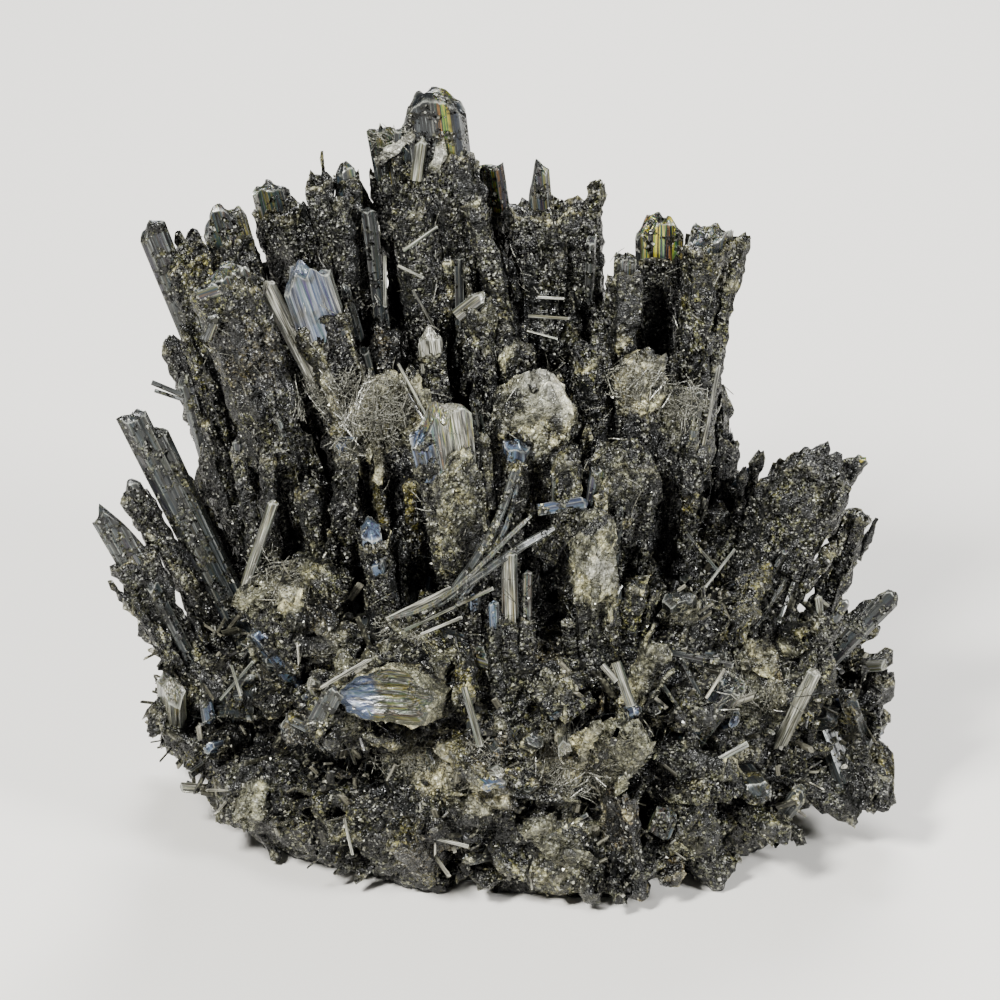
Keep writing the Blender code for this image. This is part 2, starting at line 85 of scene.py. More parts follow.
coats = {
    "black": "#232420",
    "dark": "#505243",
    "grey": "#777966",
    "olive": "#737450",
    "gold": "#908c56",
    "brown": "#7b7058",
    "pale": "#bab99d",
    "cream": "#d5d1b1",
    "white": "#f4f3e6",
    "yellow": "#bfb667",
}
# how much gold, blue and pale shows on bare crystal, at stops from its left side, 0, to its right side, 1
tarnishes = {
    "lead": ((0.5, 0.03, 0.08, 0.03),),
    "glass": ((0.0, 0.05, 0.25, 0.0), (1.0, 0.2, 0.05, 0.05)),
    "crest": (
        (0.0, 0.0, 0.05, 0.0),
        (0.55, 0.0, 0.0, 0.0),
        (0.64, 0.45, 0.0, 0.0),
        (0.76, 0.35, 0.0, 0.0),
        (0.84, 0.0, 0.1, 0.0),
    ),
    "gold": (
        (0.05, 0.1, 0.2, 0.0),
        (0.25, 0.8, 0.3, 0.0),
        (0.55, 0.6, 0.3, 0.0),
        (0.8, 0.7, 0.2, 0.0),
        (1.0, 0.1, 0.2, 0.0),
    ),
    "blue": ((0.0, 0.05, 0.95, 0.04), (0.6, 0.05, 0.7, 0.04), (1.0, 0.1, 0.5, 0.1)),
    "sky": ((0.0, 0.0, 0.65, 0.3), (0.2, 0.0, 0.65, 0.14), (0.8, 0.0, 0.55, 0.14), (1.0, 0.1, 0.3, 0.3)),
    "rainbow": (
        (0.1, 0.0, 0.9, 0.05),
        (0.28, 0.05, 0.8, 0.0),
        (0.34, 0.45, 0.2, 0.1),
        (0.55, 0.4, 0.1, 0.3),
        (0.68, 0.1, 0.1, 0.6),
        (0.85, 0.3, 0.2, 0.2),
    ),
    "pale": ((0.5, 0.08, 0.1, 0.62),),
    # a pale film all over, strongest in a band just off the middle across the crystal, where the extra paleness is a
    # painted sheen
    "paleFilmAndSheen": ((0.0, 0.12, 0.05, 0.1), (0.45, 0.12, 0.05, 0.55), (0.6, 0.1, 0.05, 0.3), (1.0, 0.12, 0.1, 0.1)),
    "felt": ((0.5, 0.04, 0.04, 0.5),),
}

# foot and tip as (across, rise, back), width, depth, clean length, ending, turn, share of the width at the
# foot, coat and tarnish
crystals = {
    "left_outer_crystals": (
        ((-33.5, 44, 9), (-47.5, 97.5, 12), 7.4, 6.0, 0, "ragged", 10, 0.9, "olive", "lead"),
        ((-41.5, 74, 11), (-52.3, 102, 12), 4.6, 2.0, bare, "slant", 0, 0.85, "grey", "lead"),
        ((-41, 72, 12), (-46.0, 99.5, 13.4), 4.6, 3.6, 0, "ragged", 40, 0.9, "dark", "lead"),
        ((-38, 52, 11), (-49.6, 84.6, 14), 3.6, 3.2, 0, "round", 0, 0.9, "dark", "lead"),
        ((-34.5, 42, 6), (-43.6, 70, 8), 6.8, 5.0, 0, "ragged", 40, 0.85, "dark", "lead"),
        ((-38, 44, 9), (-47.4, 79.4, 10), 2.8, 2.0, bare, "slant", 0, 0.9, "grey", "lead"),
    ),
    "left_back_crystal": (((-24.6, 44, 18), (-42.2, 104.8, 20.4), 8.8, 5.4, 6, "round", 0, 0.8, "olive", "glass"),),
    "left_front_crystal": (
        ((-25.4, 45, 0), (-41.4, 95, 1), 10.0, 7.4, 2.5, "ragged", 350, 0.8, "olive", "glass"),
        ((-44.6, 90.6, -2.4), (-40.6, 92.0, -2.8), 2.2, 1.0, bare, "ragged", 0, 1.0, "grey", "glass"),
        ((-43.4, 84.4, -2.8), (-41.9, 88.0, -3.0), 2.0, 1.0, bare, "ragged", 0, 1.0, "grey", "glass"),
    ),
    "slanted_top_crystals": (
        ((-21, 44, 25), (-35, 108.6, 28), 7.2, 5.0, 4, "slant", 180, 0.85, "dark", "glass"),
        ((-20, 44, 21), (-31, 106, 24), 6.4, 5.4, 0, "chisel", 30, 0.8, "dark", "lead"),
    ),
    "narrow_left_crystals": (
        ((-16, 44, 13), (-27, 109.4, 16), 5.0, 4.2, 0, "ragged", 80, 0.8, "dark", "lead"),
        ((-13, 44, 15), (-23.2, 110.8, 17), 4.8, 4.0, 2.5, "round", 15, 0.8, "olive", "glass"),
        ((-18, 46, 10.5), (-23.6, 105, 13), 3.0, 2.6, 0, "square", 0, 0.9, "dark", "lead"),
    ),
    "slender_rod": (((-13, 46, 12.4), (-19.6, 104, 14), 2.6, 2.0, bare, "square", 30, 0.9, "dark", "lead"),),
    "crest_crystals": (
        ((-1, 46, 15), (-10.3, 121.5, 19), 11.4, 8.0, 10.5, "round", 350, 0.9, "dark", "crest"),
        ((-8, 60, 20), (-18, 117.2, 22), 6.6, 5.0, 8, "round", 330, 0.8, "dark", "glass"),
        ((-5, 46, 12), (-13, 107, 15.5), 9.0, 6.0, 0, "ragged", 60, 0.9, "grey", "lead"),
        ((-14.0, 100, 17.6), (-14.4, 116.6, 18.8), 4.4, 3.6, 5, "ragged", 20, 1.0, "dark", "glass"),
        ((-18.4, 111.2, 18.8), (-12.8, 115.2, 16.8), 1.8, 1.5, 0, "ragged", 20, 1.0, "white", "pale"),
        ((-12.4, 108.4, 15), (-11.6, 114.2, 15.6), 1.9, 1.4, bare, "ragged", 0, 1.0, "pale", "paleFilmAndSheen"),
        ((-9.6, 109.6, 14.6), (-8.9, 113.6, 15.0), 2.3, 1.6, 0, "round", 0, 1.0, "white", "pale"),
    ),
    "gold_tip_left": (((7.5, 52, 24.5), (-1.8, 111.4, 28), 6.5, 5.0, 7, "square", 340, 0.85, "dark", "gold"),),
    "leaning_column": (((11, 50, 9), (-4.2, 105.3, 11), 3.8, 3.4, 0, "ragged", 0, 0.9, "grey", "lead"),),
    "capped_block": (
        ((12.5, 46, 15), (8.0, 104.3, 18.5), 15.0, 8.0, 0, "square", 355, 0.9, "dark", "lead"),
        ((7.5, 90, 18), (5.4, 111, 19.5), 5.4, 3.6, 7.5, "spear", 5, 0.9, "dark", "glass"),
        ((10.6, 94, 18.5), (14.8, 107.6, 19), 3.6, 3.2, 0, "round", 0, 0.9, "olive", "lead"),
    ),
    "dark_topped_crystal": (((17.5, 47, 5.6), (18.6, 97.6, 8), 5.2, 4.4, 3.4, "round", 20, 0.9, "dark", "glass"),),
    "gold_tip_right": (((24.4, 44, 17), (24, 103.2, 19), 9.2, 6.4, 6.5, "round", 10, 0.8, "dark", "gold"),),
    "right_tall_crystal": (((26.5, 44, 9), (31.4, 101.4, 13), 9.6, 7.0, 2.6, "ragged", 60, 0.75, "olive", "glass"),),
    "right_spikes": (
        ((27, 50, -4), (32.4, 80.7, -3.5), 2.2, 1.6, 14, "spear", 0, 0.9, "grey", "paleFilmAndSheen"),
        ((27, 50, -4), (29.4, 77, -4), 3.0, 1.8, 9, "ragged", 0, 0.9, "grey", "lead"),
    ),
    "right_knob_crystals": (
        ((31.5, 38, 18), (32.4, 78, 22), 6.0, 5.0, 0, "round", 0, 0.9, "olive", "lead"),
        ((31, 36, 15), (33.6, 71, 19), 6.6, 5.4, 0, "round", 30, 0.9, "dark", "lead"),
    ),
    "right_step_crystal": (((31, 44, 10), (37.6, 64.8, 11), 6.4, 5.0, 2, "round", 10, 0.8, "dark", "blue"),),
    "right_leaning_crystals": (
        ((34, 36, 1), (49.0, 67.5, 1), 12.0, 8.8, 0, "round", 350, 0.85, "dark", "lead"),
        ((45, 58, 3), (55.0, 67.2, 3.5), 3.6, 2.8, 2, "slant", 0, 0.9, "olive", "gold"),
        ((36, 44, 3), (42.6, 64.6, 4), 7.6, 6.0, 0, "chisel", 20, 0.85, "dark", "lead"),
    ),
    "right_edge_crystal": (((44, 30, 10), (54.6, 59, 13), 5.6, 4.4, 0, "ragged", 0, 0.85, "olive", "lead"),),
    "right_edge_blade": (((47, 34, -9), (59.2, 47, -9), 3.4, 1.8, bare, "round", 0, 0.8, "grey", "lead"),),
    "broken_blue_crystal": (
        ((-13.5, 47, 4), (-29.4, 95.4, 4.4), 9.4, 5.6, 9, "cleaved", 0, 0.85, "gold", "sky"),
        ((-25.4, 74, 4.6), (-34.6, 92.6, 5), 2.6, 2.2, bare, "slant", 0, 0.9, "grey", "pale"),
    ),
    "matted_stub": (((-12, 46, -3.4), (-16.6, 78.5, -3.2), 13.0, 4.2, 0, "round", 0, 0.8, "pale", "lead"),),
    "small_block": (((-12.5, 50, 8.6), (-17.0, 85.5, 9.2), 5.2, 3.6, 0, "square", 0, 0.9, "brown", "lead"),),
    "striated_stub": (((-6.5, 48, 3), (-10.6, 86, 5), 5.4, 4.6, 3.5, "ragged", 15, 0.8, "grey", "pale"),),
    "pale_capped_crystals": (
        ((0.5, 48, 3.4), (-3.2, 90.5, 6), 7.0, 4.6, 0, "slant", 250, 0.85, "grey", "lead"),
        ((-6.4, 88.0, 3.6), (-2.6, 91.0, 4), 2.4, 1.6, bare, "cleaved", 0, 1.0, "pale", "paleFilmAndSheen"),
        ((4.6, 50, 4), (2.0, 84.5, 5.5), 6.0, 4.4, 0, "ragged", 200, 0.9, "pale", "lead"),
    ),
    "jumbled_crystals": (
        ((17, 47, 0), (13.2, 84, 1), 6.4, 5.0, 0, "chisel", 60, 0.8, "olive", "lead"),
        ((20.5, 44, 0), (20.6, 82.4, 0), 8.6, 5.6, 0, "ragged", 20, 0.85, "dark", "lead"),
        ((25, 44, 1), (26.6, 77.4, 1.5), 7.6, 5.4, 0, "round", 80, 0.85, "grey", "lead"),
    ),
    "white_topped_crystals": (
        ((4, 44, -5), (5, 78.4, -7), 13.0, 8.8, 0, "round", 0, 0.85, "pale", "lead"),
        ((1, 44, -9), (2.4, 69, -11.4), 5.6, 5.0, 2, "square", 0, 0.9, "dark", "blue"),
    ),
    "rough_stubs": (
        ((15.5, 43, -9), (18.6, 68.4, -11), 11.4, 8.0, 0, "round", 20, 0.85, "grey", "lead"),
        ((11, 44, -13), (9.6, 67.6, -14), 5.4, 4.4, 0, "ragged", 0, 0.85, "olive", "lead"),
        ((5.6, 59.2, -16.4), (12.8, 60.4, -16.8), 1.9, 1.6, bare, "ragged", 20, 1.0, "grey", "blue"),
        ((6.4, 52.6, -16), (10.6, 59.0, -17), 4.2, 3.0, 0, "ragged", 20, 1.0, "olive", "blue"),
    ),
    "front_broken_crystal": (
        ((-4.0, 42, -14.5), (-9.2, 73.6, -17), 12.0, 7.0, 7, "ragged", 20, 0.5, "grey", "rainbow"),
    ),
    "front_column": (
        ((14.6, 33, -19), (13.8, 58.4, -22), 7.6, 6.6, 0, "round", 0, 1.0, "grey", "lead"),
        ((17.4, 33, -18), (20.0, 49.0, -20), 5.0, 4.6, 0, "ragged", 0, 1.0, "olive", "lead"),
    ),
    "front_blades": (
        ((1.8, 30, -24), (1.3, 53, -24), 3.8, 2.8, 11, "ragged", 0, 1.0, "grey", "paleFilmAndSheen"),
        ((3.8, 30, -23.6), (4.0, 50.5, -24), 3.0, 2.6, 8, "ragged", 0, 1.0, "grey", "glass"),
        ((-0.2, 30, -24), (-1.0, 46, -24), 3.0, 2.4, 5, "slant", 0, 1.0, "grey", "blue"),
    ),
    "small_front_crystal": (((-3.6, 32, -21), (-3.8, 47, -22), 3.6, 3.0, 3, "chisel", 0, 0.9, "dark", "blue"),),
    "hollow_crystal": (
        ((-12.8, 42, -7.6), (-14.9, 57.0, -7.7), 6.8, 4.8, 0, "ragged", 0, 0.9, "gold", "lead"),
        ((-15.4, 44, -7.8), (-18.2, 65.2, -8.0), 2.3, 3.8, 0, "ragged", 0, 0.9, "yellow", "lead"),
        ((-12.0, 44, -7.8), (-13.4, 63.2, -8.0), 2.6, 3.8, 0, "slant", 180, 0.9, "yellow", "lead"),
        ((-13.6, 44, -6), (-15.8, 64.0, -6.2), 4.4, 1.2, 0, "square", 0, 1.0, "black", "lead"),
        ((-17.4, 63.4, -9.4), (-17.8, 67.2, -9.6), 2.6, 2.0, 0, "round", 0, 0.9, "cream", "lead"),
    ),
    "slender_left_crystals": (
        ((-23.6, 41, -8), (-22.8, 69.8, -9), 4.2, 3.6, 2.5, "slant", 0, 0.85, "dark", "blue"),
        ((-25.4, 42, -7.6), (-28.6, 63.0, -8), 4.2, 3.4, 0, "ragged", 0, 0.9, "dark", "lead"),
    ),
    "ledge_crystals": (
        ((-16, 38, -14), (-19.2, 56.8, -17), 6.6, 4.8, 2, "slant", 90, 0.85, "dark", "blue"),
        ((-15, 36, -17), (-18.3, 51.8, -19.6), 4.2, 3.8, 2, "square", 0, 0.9, "dark", "blue"),
    ),
    "bright_bar": (((-38.0, 48, -8), (-33.5, 60.4, -10), 1.6, 1.1, bare, "slant", 0, 1.0, "grey", "paleFilmAndSheen"),),
    "thin_left_branches": (
        ((-34.6, 41, -6), (-39.2, 69.8, -6), 2.8, 2.4, 2, "ragged", 0, 0.9, "dark", "lead"),
        ((-33.9, 41, -6.2), (-34.6, 68, -6.2), 3.2, 2.8, 0, "chisel", 0, 0.9, "dark", "lead"),
    ),
    "far_left_crystals": (
        ((-38, 38, -2), (-54.8, 73.2, -1), 4.6, 3.6, bare, "square", 15, 0.9, "grey", "lead"),
        ((-36.5, 38, -1), (-51.4, 70.8, 0), 3.8, 3.2, bare, "slant", 0, 0.9, "grey", "lead"),
        ((-41, 38, -3), (-55.4, 63.8, -3), 4.2, 3.6, 3.5, "round", 0, 0.9, "dark", "lead"),
    ),
    "far_left_wedge": (((-43, 30, -8), (-59, 59.4, -8), 6.6, 3.4, 9, "spear", 180, 0.9, "dark", "lead"),),
    "broken_face_crystal": (
        ((-8, 34, -14), (-16.5, 31.8, -34.5), 16.0, 8.0, 0, "ragged", 100, 0.85, "grey", "paleFilmAndSheen"),
        ((-27.0, 27.6, -33), (-23.8, 33.4, -33.6), 3.0, 1.0, bare, "cleaved", 0, 1.0, "grey", "lead"),
        ((-26.2, 33.2, -30), (-18.7, 37.6, -31), 0.7, 0.6, bare, "spear", 0, 1.0, "cream", "pale"),
    ),
    "fibrous_blade": (((14.5, 21, -22), (23.6, 39.4, -28), 4.6, 2.6, 0, "round", 0, 0.9, "pale", "paleFilmAndSheen"),),
    "fibrous_slab": (((13, 18, -26), (19.4, 27.4, -37), 8.6, 3.6, 0, "ragged", 0, 0.9, "pale", "paleFilmAndSheen"),),
    "dark_prism": (((26.5, 22, -20), (34.4, 33.6, -27), 4.4, 3.6, bare, "square", 20, 0.9, "dark", "glass"),),
    "crossed_blades": (
        ((44, 33, -15), (51.2, 45.8, -18.4), 3.0, 2.3, 5, "ragged", 0, 1.0, "grey", "lead"),
        ((49.4, 32, -15), (47.0, 46.4, -18), 2.6, 1.9, 4, "ragged", 0, 1.0, "grey", "paleFilmAndSheen"),
    ),
    "white_bar": (((41.5, 23, -16), (46.6, 35.6, -23), 2.2, 1.6, bare, "ragged", 0, 1.0, "pale", "pale"),),
    "rear_left_crystals": (
        ((-26, 42, 30), (-37, 80, 37), 8.4, 6.0, 0, "chisel", 0, 0.9, "dark", "lead"),
        ((-30, 38, 28), (-46, 66, 33), 7.0, 5.6, 0, "ragged", 0, 0.9, "olive", "lead"),
    ),
    "rear_inner_left_crystal": (((-13, 44, 29), (-20, 92, 36), 10.0, 6.0, 6, "ragged", 40, 0.8, "olive", "gold"),),
    "rear_middle_crystals": (
        ((-2, 44, 30), (-6, 95, 36.5), 9.6, 6.4, 5, "round", 0, 0.8, "dark", "glass"),
        ((1, 44, 31), (1.4, 82, 37), 6.6, 5.6, 0, "slant", 0, 0.85, "grey", "lead"),
    ),
    "rear_right_crystals": (
        ((13, 44, 26), (15.6, 88, 35), 9.6, 6.4, 0, "chisel", 30, 0.8, "dark", "lead"),
        ((18, 40, 25), (22, 72, 34), 7.0, 5.6, 0, "ragged", 0, 0.9, "olive", "lead"),
    ),
    "rear_outer_right_crystals": (
        ((30, 38, 24), (40, 60, 31), 7.2, 5.4, 0, "ragged", 0, 0.85, "grey", "lead"),
        ((34, 34, 21), (46, 54, 26), 7.4, 5.6, 0, "square", 0, 0.9, "dark", "lead"),
    ),
    "rear_low_crystals": (
        ((-15, 26, 20), (-19, 48, 38), 7.0, 5.4, 0, "slant", 0, 0.9, "dark", "lead"),
        ((-11, 26, 20), (-13, 43, 38), 6.4, 5.0, 0, "ragged", 0, 0.9, "olive", "lead"),
    ),
    "rear_low_right_crystal": (((8, 30, 20), (11, 53, 38), 8.0, 5.6, 0, "ragged", 0, 0.85, "dark", "lead"),),
}


# small helpers
def spot(across, rise, back):
    height = (rise - baseRise - back * math.sin(sightAngle)) / math.cos(sightAngle)
    return Vector((across, back, height))


def linear(hexColour):
    parts = [int(hexColour[place : place + 2], 16) / 255 for place in (1, 3, 5)]
    return [part / 12.92 if part <= 0.04045 else ((part + 0.055) / 1.055) ** 2.4 for part in parts] + [1.0]


def plug(tree, node, inputs):
    # inputs by name or number, or all from the first one on
    for key, value in inputs.items() if isinstance(inputs, dict) else enumerate(inputs):
        if isinstance(value, bpy.types.NodeSocket):
            tree.links.new(value, node.inputs[key])
        else:
            node.inputs[key].default_value = value


def addNode(tree, kind, inputs=(), out=0, **settings):
    # gives back the output asked for, or with None the node itself
    node = tree.nodes.new(kind if "Node" in kind else f"ShaderNode{kind}")
    for name, value in settings.items():
        if name == "stops":
            ramp = node.color_ramp
            while len(ramp.elements) < len(value):
                ramp.elements.new(0.5)
            for stop, (place, colour) in zip(ramp.elements, value):
                stop.position, stop.color = place, linear(colour)
        else:
            setattr(node, name, value)
    plug(tree, node, inputs)
    return node if out is None else node.outputs[out]


def latticeNoise(points, seed):
    # smooth noise from -1 to 1, one wave to a unit
    cell = np.floor(points).astype(np.int64)
    part = points - cell
    part = part * part * (3 - 2 * part)
    total = np.zeros(len(points))
    for corner in itertools.product((0, 1), repeat=3):
        key = ((cell + corner) * (73856093, 19349663, 83492791)).sum(axis=1) + seed * 6542989
        key = (key ^ (key >> 13)) * 1274126177 & 0x7FFFFFFF
        key = (key ^ (key >> 15)) * 668265263 & 0x7FFFFFFF
        weight = np.prod(np.where(corner, part, 1 - part), axis=1)
        total += (key / 0x3FFFFFFF - 1) * weight
    return total


# where the crust is paler, browner or blacker than its crystal's own coat, sighted from the front
tints = (  # across, rise, radius, coat, strength
    (-43.5, 94.5, 3.6, "gold", 0.7),
    (-37.0, 82.0, 5.5, "brown", 0.8),
    (-40.5, 85.5, 3.0, "black", 0.8),
    (-25.5, 85.0, 6.0, "pale", 0.45),
    (-28.0, 76.0, 4.5, "pale", 0.75),
    (-9.5, 117.0, 3.0, "gold", 0.8),
    (-17.0, 108.5, 4.0, "dark", 0.8),
    (-11.5, 108.0, 3.0, "olive", 0.9),
    (-6.0, 90.0, 2.6, "cream", 0.8),
    (-1.5, 88.5, 3.0, "pale", 0.8),
    (-9.7, 84.5, 2.2, "pale", 0.7),
    (-21.0, 81.5, 2.0, "pale", 0.7),
    (-20.0, 74.5, 7.5, "cream", 0.75),
    (-12.5, 72.0, 4.0, "pale", 0.8),
    (6.4, 76.0, 5.0, "white", 0.95),
    (4.0, 71.5, 7.0, "pale", 0.75),
    (2.0, 75.5, 1.6, "dark", 0.8),
    (7.6, 71.0, 1.6, "dark", 0.7),
    (8.6, 77.6, 2.4, "white", 1.0),
    (-6.6, 60.0, 7.0, "pale", 0.55),
    (-15.4, 53.6, 2.6, "black", 0.8),
    (1.6, 60.6, 2.2, "black", 0.7),
    (7.6, 48.8, 3.6, "black", 0.85),
    (12.6, 74.8, 2.6, "black", 0.8),
    (2.5, 68.0, 3.2, "gold", 0.7),
    (20.5, 78.5, 5.0, "cream", 0.7),
    (26.5, 74.0, 4.2, "pale", 0.85),
    (17.0, 84.5, 2.6, "pale", 0.6),
    (31.5, 95.5, 2.6, "gold", 0.8),
    (34.5, 93.0, 1.8, "cream", 0.8),
    (17.5, 95.0, 2.4, "pale", 0.5),
    (28.0, 60.3, 1.4, "yellow", 0.9),
    (47.7, 60.8, 1.9, "cream", 0.8),
    (45.0, 57.0, 6.0, "olive", 0.7),
    (51.0, 64.0, 4.0, "dark", 0.8),
    (-32.5, 49.5, 5.6, "pale", 0.95),
    (-31.5, 46.0, 2.6, "cream", 0.8),
    (-26.0, 43.0, 3.0, "brown", 0.7),
    (-24.5, 40.5, 2.8, "cream", 0.8),
    (-47.0, 49.0, 2.4, "pale", 0.8),
    (-46.4, 46.5, 1.6, "cream", 0.7),
    (-48.0, 32.4, 1.6, "cream", 0.7),
    (-44.5, 21.0, 3.4, "gold", 0.8),
    (-33.0, 25.5, 3.0, "cream", 0.7),
    (-19.5, 35.5, 6.0, "pale", 0.8),
    (-20.0, 26.0, 5.5, "pale", 0.95),
    (-14.0, 24.0, 3.0, "cream", 0.8),
    (-9.5, 21.5, 4.6, "cream", 0.8),
    (-10.5, 33.0, 4.0, "pale", 0.9),
    (-13.0, 37.5, 4.6, "pale", 0.85),
    (-1.5, 24.5, 3.2, "brown", 0.9),
    (-2.5, 17.0, 4.0, "cream", 0.75),
    (-11.5, 9.0, 4.0, "brown", 0.9),
    (0.5, 39.0, 3.6, "grey", 0.8),
    (6.5, 38.0, 3.2, "brown", 0.7),
    (15.0, 63.5, 5.0, "pale", 0.6),
    (13.6, 50.0, 6.0, "pale", 0.95),
    (14.5, 50.5, 2.0, "white", 0.7),
    (10.5, 21.5, 5.0, "cream", 0.85),
    (8.0, 34.0, 3.0, "pale", 0.5),
    (11.5, 13.0, 4.2, "pale", 0.9),
    (6.6, 17.4, 1.8, "black", 0.9),
    (-5.5, 12.5, 2.6, "black", 0.9),
    (-15.5, 15.5, 3.0, "black", 0.9),
    (-24.5, 24.5, 2.8, "black", 0.9),
    (18.0, 12.5, 2.4, "black", 0.9),
    (30.0, 26.5, 3.0, "black", 0.9),
    (42.0, 24.0, 2.4, "black", 0.85),
    (-38.0, 24.0, 2.6, "black", 0.85),
    (27.0, 10.0, 2.6, "pale", 0.8),
    (36.5, 22.5, 2.4, "cream", 0.7),
    (-26.0, 12.0, 2.6, "pale", 0.8),
    (-37.5, 34.5, 2.6, "pale", 0.8),
    (22.0, 33.0, 3.4, "pale", 0.7),
    (24.5, 19.0, 3.6, "grey", 0.7),
    (38.5, 37.0, 2.6, "cream", 0.75),
    (43.0, 38.5, 2.0, "pale", 0.8),
    (39.0, 31.0, 4.2, "pale", 0.85),
    (49.0, 28.0, 6.0, "gold", 0.6),
    (33.0, 15.0, 5.0, "olive", 0.8),
    (7.0, 5.0, 5.0, "pale", 0.6),
    (20.0, 6.0, 4.0, "grey", 0.8),
    (-30.0, 17.5, 5.0, "olive", 0.8),
)


def buildSightTree():
    points, faces = [], []
    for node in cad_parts.values():
        start = len(points)
        points += [vert.co.copy() for vert in node.data.vertices]
        faces += [[start + index for index in face.vertices] for face in node.data.polygons]
    return BVHTree.FromPolygons(points, faces)


sightTree = buildSightTree()
sightWay = Vector((0, math.cos(sightAngle), -math.sin(sightAngle)))
toEye = -sightWay


def surfaceSpot(across, rise):
    # the place and the outward direction of the solid that is seen first at this across and rise
    place, normal, _, _ = sightTree.ray_cast(spot(across, rise, -90) * mm, sightWay)
    return (None, None) if place is None else (place / mm, normal)


# painted shade: the crust's colour is made blacker deep in the gaps between crystals, where little light gets in
gapShadeLook = {
    "reach": 20.0,  # mm to the next crystal for a gap to count
    "off": 1.3,  # mm off the crust that it is looked for from
    "darkest": 0.05,
    "openness": 1.3,  # over 1, so that a place a little way in is still as pale as the open
    "fade": 1.5,
}
# the ways it looks: their turns round the upright and rises over the level, in radians
gapShadeTurns = (0.3, 1.4, 2.5, 3.6, 4.4, 5.3, 1.0, 4.0, 0.0, 2.1, 4.2)
gapShadeRises = (0.2, 0.5, 0.1, 0.6, 0.15, 0.35, 1.2, 1.2, -0.6, -0.5, -0.6)
gapShadeWays = [
    Vector((math.cos(turn) * math.cos(rise), math.sin(turn) * math.cos(rise), math.sin(rise)))
    for turn, rise in zip(gapShadeTurns, gapShadeRises)
]


def paintedGapShade(points, normals):
    # from 1 in the open down to the darkest in a gap, as painted shade
    look = gapShadeLook
    clear = np.ones(len(points))
    for number, (point, normal) in enumerate(zip(points, normals)):
        place, normal = Vector(point + normal * look["off"]) * mm, Vector(normal)
        seen = met = 0
        for way in gapShadeWays:
            if way.dot(normal) > 0.1:
                seen += 1
                met += sightTree.ray_cast(place, way, look["reach"] * mm)[0] is not None
        if seen:
            clear[number] = 1 - met / seen
    shade = look["darkest"] + (1 - look["darkest"]) * (clear * look["openness"]) ** look["fade"]
    return np.clip(shade, 0, 1.1)[:, None]


tintSpots = [
    (surfaceSpot(across, rise)[0] or spot(across, rise, 0), radius, linear(coats[name]), much)
    for across, rise, radius, name, much in tints
]


def tinted(points, colours):
    wobble = 1 + 0.4 * latticeNoise(points / 1.6, 41) + 0.2 * latticeNoise(points / 0.7, 42)
    way = np.array(sightWay)
    for centre, radius, colour, strength in tintSpots:
        apart = points - np.array(centre)
        deep = apart @ way
        gap = np.hypot(np.linalg.norm(apart - deep[:, None] * way, axis=1), deep * 0.4) / radius * wobble
        share = np.clip((1.3 - gap) / 0.6, 0, 1)[:, None] * strength
        colours = colours * (1 - share) + np.array(colour) * share
    return colours


# materials
def newMaterial(name):
    material = bpy.data.materials.new(name)
    material.use_nodes = True
    return material, material.node_tree


def finishMaterial(material, inputs):
    tree = material.node_tree
    plug(tree, tree.nodes["Principled BSDF"], inputs)
    return material


def turnedFace(tree, lean, share):
    # the surface's own direction, leaned by its share
    lean = addNode(tree, "VectorMath", {0: lean, "Scale": share}, operation="SCALE")
    faceOut = addNode(tree, "NewGeometry", {}, "Normal")
    turned = addNode(tree, "VectorMath", (faceOut, lean), operation="ADD")
    return addNode(tree, "VectorMath", (turned,), operation="NORMALIZE")


druseLook = {
    "grainsPerMm": 3.4,  # grains about a third of a millimetre across
    "lumpsPerMm": 0.95,  # little knots of grains, about a millimetre across
    "patchesPerMm": 0.16,  # stains, about 6 mm across
    "wornPerMm": 0.42,  # places where the crust is missing
    "wornFrom": 0.535,  # lower for more of them
    "wornStretch": 0.35,  # they are longer along a crystal than across it
    "bumpDepth": 0.16,  # mm
    "grainTilt": 1.25,  # how far a grain's face turns from the crust's own
    "sawMarksPerMm": 1.2,
    "sawDepth": 0.5,  # share of the bump's depth
    "grains": ((0.0, "#101010"), (0.3, "#383836"), (0.58, "#66665e"), (0.82, "#cfcfc2"), (1.0, "#ffffff")),
    # painted shade in the gaps between knots of grains, where the dark crystal also shows through
    "knotGapShade": ((0.2, "#ffffff"), (0.42, "#b0b0ac"), (0.66, "#1e1e1e")),  # from their middle to the gaps
    "stains": ((0.34, "#5a5a5a"), (0.46, "#c8c8c8"), (0.54, "#ffffff"), (0.62, "#f4ecd0"), (0.7, "#ffffff")),
    "palest": "#d6d6ca",
    "under": "#0d0e0e",  # the crystal where the crust is missing
}


